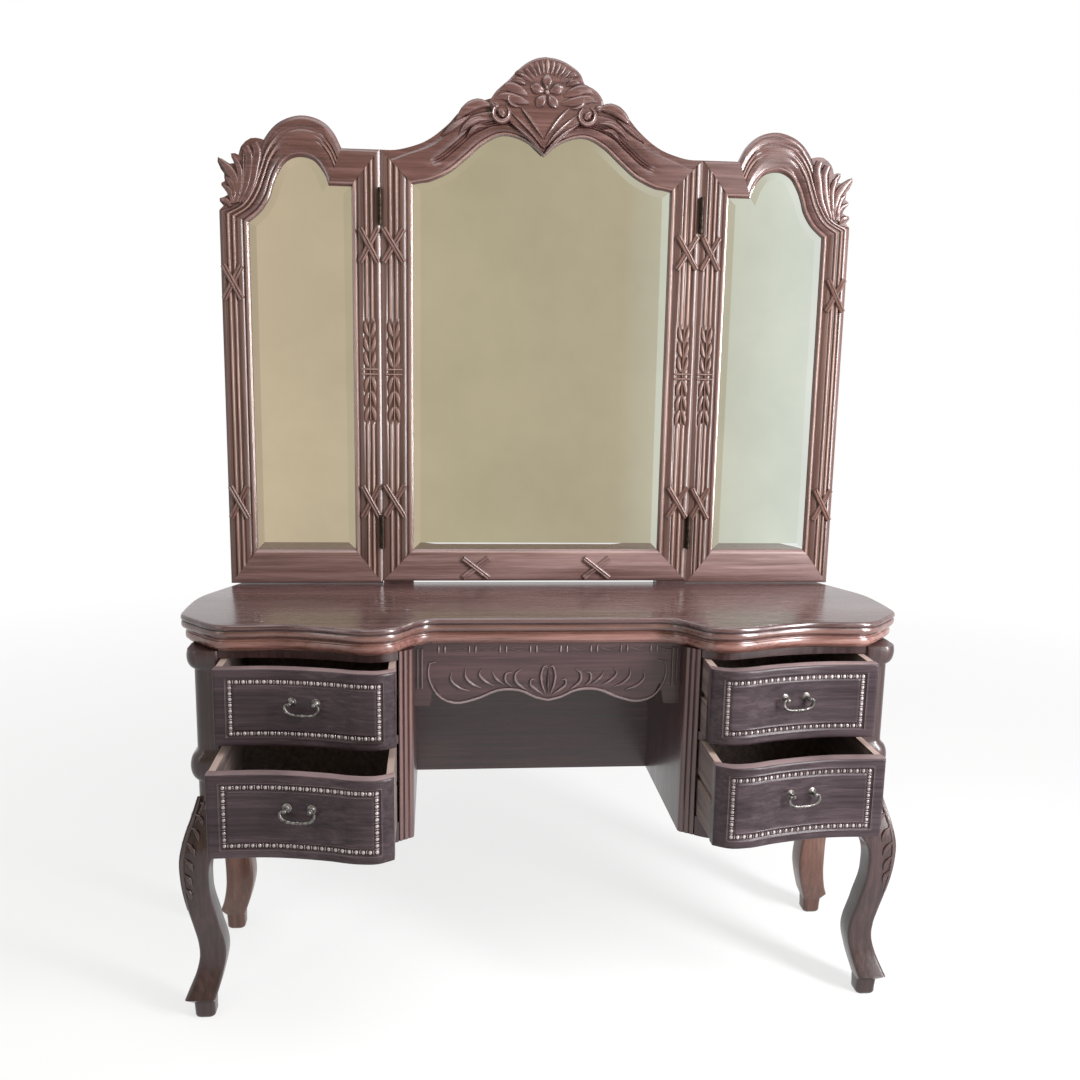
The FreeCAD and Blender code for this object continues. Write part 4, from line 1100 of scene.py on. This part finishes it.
def drawer_front(level, side, sign):
    """A bowed front and the beads in its channel, drawn on the right and mirrored for the left."""
    name = "%s_%s" % (level, side)
    low, high = drawn(name + "_drawer_front")
    x0, x1 = sorted((abs(low[0]), abs(high[0])))
    bow_span = bow(np.linspace(x0, x1, 200))
    opening = bow_span.min() - low[1]
    thick = high[1] - low[1] - (bow_span.max() - bow_span.min())
    left, right = x0 + border_side, x1 - border_side
    bottom, top = low[2] + border_top, high[2] - border_top
    x = np.concatenate([[x0, x0 + 0.5, x0 + 1.6], np.linspace(x0 + 4, x1 - 4, 130), [x1 - 1.6, x1 - 0.5, x1]])
    z = np.concatenate([[low[2] + 0.4, low[2] + 1.4], np.linspace(low[2] + eased, high[2] - eased, 76),
                        [high[2] - 1.4, high[2] - 0.4]])
    wide, tall = np.meshgrid(x, z, indexing="ij")
    to_line = np.maximum(np.abs(wide - (left + right) / 2) - (right - left) / 2,
                         np.abs(tall - (bottom + top) / 2) - (top - bottom) / 2)
    to_edge = np.minimum(np.minimum(wide - x0, x1 - wide), np.minimum(tall - low[2], high[2] - tall))
    channel = np.clip((channel_half - np.abs(to_line)) / channel_wall, 0, 1)
    fillet = np.exp(-((np.abs(to_line) - channel_half - fillet_off) / fillet_width) ** 2)
    relief = edge_fall * np.clip(1 - to_edge / eased, 0, 1) ** 2
    relief += channel_depth * channel - fillet
    # Tone paints the fillets and eased edges pale, as painted highlight with some rubbing, and the bead
    # channel dark, as painted shade.
    tone = 0.75 * fillet - 0.8 * channel + 0.6 * np.clip(1 - to_edge / 3, 0, 1)
    face = np.stack([wide, bow(wide) + relief, tall], axis=-1)
    edges = face[:, [-1, 0]] + [0, edge_back, 0]
    behind = np.stack([wide, bow(wide) + thick, tall], axis=-1)[:, [-1, 0]]
    edges[..., 2] = behind[..., 2] = high[2], low[2]
    net = np.concatenate([face, edges[:, :1], behind, edges[:, 1:]], axis=1)
    net[..., 1] -= opening
    # The top face of the front is painted pale, as painted light from above.
    tone = np.concatenate([tone, np.broadcast_to([0.95, 0.95, 0, 0], (len(x), 4))], axis=1)
    board = skin("bowed_%s_drawer_front" % name, net * [sign, 1, 1], tone)
    finish(board, drawer_wood, name + "_drawer", "mahogany_drawer", name + "_drawer_front", angle=50)
    rows = [bead_row((left, bottom), (right, bottom), beads_across),
            bead_row((right, top), (left, top), beads_across),
            bead_row((left, top), (left, bottom), beads_down),
            bead_row((right, bottom), (right, top), beads_down)]
    beads = join("beaded_border_%s" % name, rows)
    spots = as_drawn(points_of(beads))
    spots[:, 1] += bow(spots[:, 0]) + bead_seat - opening
    lay(beads, spots * [sign, 1, 1])
    # Every bead is painted at full tone, as a painted highlight.
    paint(beads, 1)
    close(beads)
    finish(beads, bead_highlight, name + "_drawer", "mahogany_drawer")


for level in ("upper", "lower"):
    for side, sign in sides:
        drawer_front(level, side, sign)

# %% [markdown]
# ## Pulls
# A swan-neck bail hangs between two turned posts. The posts are lathe work, so half of the profile is drawn
# and spun round. The bail swells towards its middle like a forged one, so it is a skin of rings along its
# bend. Both are drawn about the pivot line and then turned to face out of the bowed front.

# %% Posts and bails
post_span = 22
bail_thin, bail_swell, bail_taper, bail_bead = 1.9, 1.1, 0.3, 0.035
post_profile = ((0, -4.8), (2.2, -4.4), (3.9, -2.8), (4.5, 0), (3.9, 2.6), (2.8, 3.8), (3.7, 4.6),
                (3.7, 5.4), (2.6, 6.6), (2.8, 10), (4.6, 11.2), (5.4, 12.4), (7.2, 12.8), (8.6, 14),
                (8.7, 15.4), (8.2, 17.8), (0, 17.8))
bail_bend = ((18, 0), (26, 0.2), (29.6, -2.2), (30.2, -8), (27.5, -13.5), (22.5, -17.2), (12, -19.6),
             (0, -20))


def turned_post(x):
    """A post spun from its half profile, set to one side of the pull's middle."""
    post = begin("post", bpy.ops.mesh.primitive_circle_add, vertices=len(post_profile), fill_type="NOTHING",
                 calc_uvs=False)
    lay(post, [(radius, y, 0) for radius, y in post_profile])
    edit_all(post)
    bpy.ops.mesh.spin(steps=24, angle=2 * np.pi, center=(0, mirror_front[1], 0), axis=(0, 1, 0))
    close(post)
    lay(post, as_drawn(points_of(post)) + [x, 0, 0])
    return post


def swan_bail():
    """A bail with a bead in its middle and a swelling and two beads on each side."""
    half = smooth(standing(bail_bend, 0), 40)
    path = np.concatenate([half, half[-2::-1] * [-1, 1, 1]])
    flat = np.array([0, 1, 0])
    side = np.cross(unit(np.gradient(path, axis=0)), flat)
    share = np.abs(np.linspace(-1, 1, len(path)))
    radius = bail_thin + bail_swell * np.exp(-((share - 0.55) / 0.2) ** 2) + bail_taper * (1 - share)
    for bead, size in ((0, 1.5), (0.13, 0.7), (0.3, 0.6)):
        radius += size * np.exp(-((share - bead) / bail_bead) ** 2)
    angle = np.linspace(0, 2 * np.pi, 13)[:-1]
    ring = side[:, None] * np.cos(angle)[:, None] + flat * np.sin(angle)[:, None]
    return skin("bail", path[:, None] + ring * radius[:, None, None])


def hang(piece, pivot, turn):
    """Turns a pull about the upright through its pivot and puts it in its place."""
    x, y, z = as_drawn(points_of(piece)).T
    c, s = np.cos(turn), np.sin(turn)
    lay(piece, np.stack([x * c - y * s, x * s + y * c, z], axis=1) + as_drawn(pivot))


for joint in frame["joints"]:
    if joint["name"].endswith("_bail_pivot"):
        name = joint["name"].replace("_bail_pivot", "")
        along = np.array(joint["axis"]) * (-1 if joint["axis"][0] < 0 else 1)
        turn = np.arctan2(along[1], along[0])
        posts = join("turned_posts_" + name, [turned_post(x) for x in (-post_span, post_span)])
        hang(posts, joint["pos_m"], turn)
        finish(posts, pull_brass, name + "_drawer", "antique_brass", name + "_pull_posts")
        bail = swan_bail()
        bail.name = "swan_neck_bail_" + name
        hang(bail, joint["pos_m"], turn)
        finish(bail, pull_brass, name + "_bail", "antique_brass", name + "_bail", angle=60)

# %% [markdown]
# ## Stiles beside the kneehole
# The front ends of the inner sides show as two upright stiles. Three reeds are worked on each, so the board
# is a skin with two rings, one at the bottom and one at the top, whose front edge carries the reeds.

# %% Inner sides
reed_points, reed_count, reed_depth = 33, 3, 3
for side, sign in sides:
    low, high = drawn(side + "_inner_side")
    x0, x1 = sorted((abs(low[0]), abs(high[0])))
    x = np.linspace(x0 + 0.6, x1 - 0.3, reed_points)
    share = np.linspace(0, reed_count, reed_points) % 1
    groove = reed_depth * (2 * share - 1) ** 4
    front = np.stack([x, bow(x) + groove + 0.4, np.zeros(reed_points)], axis=1)
    behind = [(x1, bow(x1) + 4, 0), (x1, high[1], 0), (x0, high[1], 0), (x0, bow(x0) + 5, 0)]
    ring = np.concatenate([front, behind])
    # The reed crests are painted pale and the grooves dark, as painted highlight and shade.
    tone = np.concatenate([0.9 - 1.8 * groove / reed_depth, np.zeros(4)])
    net = np.stack([ring * [sign, 1, 1] + [0, 0, z] for z in (low[2], high[2])])
    finish(skin("reeded_%s_inner_side" % side, net, tone), stile_wood, "desk", "mahogany_case",
           side + "_inner_side")

# %% [markdown]
# ## Pieces that keep their measured shape
# Boards, runners, battens, hinges and screws are already right, so they keep their meshes and only get a
# finish. A short table of name endings is enough to give each its material.

# %% Finishes on measured pieces
# The front rails under the band and the foot blocks take the dark leg wood as painted shade, since they stand
# in shadow.
dressed = ((lining_wood, ("drawer_box", "runners", "bottoms")), (back_board, ("backboard",)),
           (soft_wood, ("mirror_post",)), (case_wood, ("panels",)), (stile_wood, ("outer_side",)),
           (leg_wood, ("front_rails", "foot_blocks")), (screw_steel, ("screws",)),
           (hinge_brass, ("hinge_leaves", "fixed_leaves", "hinge_pins")))
for name, piece in frame["nodes"].items():
    for material, endings in dressed:
        if name.endswith(endings) and not piece.hide_render:
            for place in range(len(piece.material_slots)):
                piece.material_slots[place].material = material
            print(name, "is finished in", material.name)

# %% [markdown]
# ## Camera and studio
# The camera stands where the photograph was taken from, a little left of the middle and at chest height. The
# studio is white for the camera, for mirrors and for glass. The floor keeps some of the object's shadow, and
# a pale warm wall behind the camera gives the mirrors something to show.

# %% Camera
frame_pixels = 1080
focal_pixels = 1099.96
middle_pixels = (538.09, 551.80)
eye = (-0.20938, -2.06643, 1.27389)
yaw, pitch, roll = 0.09172, 0.18093, -0.0179

ahead = np.array([np.sin(yaw) * np.cos(pitch), np.cos(yaw) * np.cos(pitch), -np.sin(pitch)])
rightwards = np.array([np.cos(yaw), -np.sin(yaw), 0.0])
downwards = np.cross(ahead, rightwards)
c, s = np.cos(roll), np.sin(roll)
turn = np.stack([c * rightwards + s * downwards, s * rightwards - c * downwards, -ahead], axis=1)
camera = bpy.data.objects.new("camera", bpy.data.cameras.new("camera"))
bpy.context.scene.collection.objects.link(camera)
camera.matrix_world = Matrix.Translation(eye) @ Matrix(turn.tolist()).to_4x4()
camera.data.sensor_width = 36.0
camera.data.lens = focal_pixels / frame_pixels * camera.data.sensor_width
camera.data.shift_x = (frame_pixels / 2 - middle_pixels[0]) / frame_pixels
camera.data.shift_y = (middle_pixels[1] - frame_pixels / 2) / frame_pixels
bpy.context.scene.camera = camera
print("lens", round(camera.data.lens, 2), "mm")

# %% Studio
scene = bpy.context.scene
scene.view_settings.view_transform = "Standard"


def seen_white(material):
    """1 for rays that come from the camera, a mirror or a glass."""
    path = node(material, "LightPath", {}).outputs
    either = reckon(material, "MAXIMUM", path["Is Camera Ray"], path["Is Glossy Ray"])
    return reckon(material, "MAXIMUM", either, path["Is Transmission Ray"])


def surface(piece, material, shader):
    """Gives a piece a material that shows a shader."""
    plug(material.node_tree.nodes["Material Output"], {"Surface": shader})
    piece.data.materials.append(material)


world = bpy.data.worlds.new("studio")
world.use_nodes = True
scene.world = world
ambient = 0.42
level = between(world, seen_white(world), 0, 1, ambient, 1)
plug(world.node_tree.nodes["Background"], {"Strength": level, "Color": (1, 1, 1, 1)})

floor = begin("floor", bpy.ops.mesh.primitive_plane_add, size=40)
floor_paint, floor_shader = new_material("pale_floor")
plug(floor_shader, {"Base Color": (0.86, 0.86, 0.86, 1), "Roughness": 0.8})
glow = node(floor_paint, "Emission", {"Color": (1, 1, 1, 1), "Strength": 1.0}).outputs["Emission"]
spot = node(floor_paint, "TexCoord", {}).outputs["Object"]
distance = node(floor_paint, "VectorMath", {0: spot}, operation="LENGTH").outputs["Value"]
shadow_near, shadow_far, shadow_white = 1.2, 4, 0.72
far_white = between(floor_paint, distance, shadow_near, shadow_far, shadow_white, 1)
share = reckon(floor_paint, "MULTIPLY", seen_white(floor_paint), far_white)
blend = node(floor_paint, "MixShader", {0: share, 1: floor_shader.outputs["BSDF"], 2: glow})
surface(floor, floor_paint, blend.outputs["Shader"])

wall = begin("backdrop", bpy.ops.mesh.primitive_plane_add, size=1)
wall_place, wall_size = (0.4, -4.4, 2.5), (9, 5, 1, 1)
wall.data.transform(Matrix.Translation(wall_place) @ Matrix.Rotation(np.pi / 2, 4, "X")
                    @ Matrix.Diagonal(wall_size))
wall_paint = new_material("pale_wall")[0]
spot = node(wall_paint, "TexCoord", {}).outputs["Object"]
across = node(wall_paint, "SeparateXYZ", {"Vector": spot}).outputs["X"]
shade = ramp(wall_paint, between(wall_paint, across, -2.4, 4.0, 0.0, 1.0),
             ((0.0, (0.30, 0.24, 0.17)), (0.16, (0.66, 0.53, 0.37)), (0.36, (0.50, 0.43, 0.29)),
              (0.52, (0.50, 0.43, 0.30)), (0.68, (0.76, 0.79, 0.69)), (0.85, (0.9, 0.9, 0.86))))
wall_glow = node(wall_paint, "Emission", {"Color": shade, "Strength": 1}).outputs["Emission"]
surface(wall, wall_paint, wall_glow)
wall.visible_camera = False


def lamp(name, place, target, size, power, colour=(1, 1, 1)):
    """A rectangular lamp that looks at a target."""
    light = bpy.data.lights.new(name, "AREA")
    light.shape = "RECTANGLE"
    light.size, light.size_y = size
    light.energy = power
    light.color = colour
    lamp_object = bpy.data.objects.new(name, light)
    scene.collection.objects.link(lamp_object)
    facing = (Vector(place) - Vector(target)).to_track_quat("Z", "Y")
    lamp_object.matrix_world = Matrix.Translation(place) @ facing.to_matrix().to_4x4()


lamp("key", (1.75, -1.4, 1.6), (0.1, 0.0, 1.1), (0.4, 2.1), 117, (1.0, 0.98, 0.99))
lamp("fill", (-2.2, -1.9, 1.75), (-0.1, 0.0, 1.2), (0.3, 2.2), 9, (1.0, 0.95, 0.90))
lamp("top", (0.0, -0.9, 3.4), (0.0, 0.0, 0.8), (2.4, 1.4), 38)
print("lamps:", [light.name for light in bpy.data.lights])
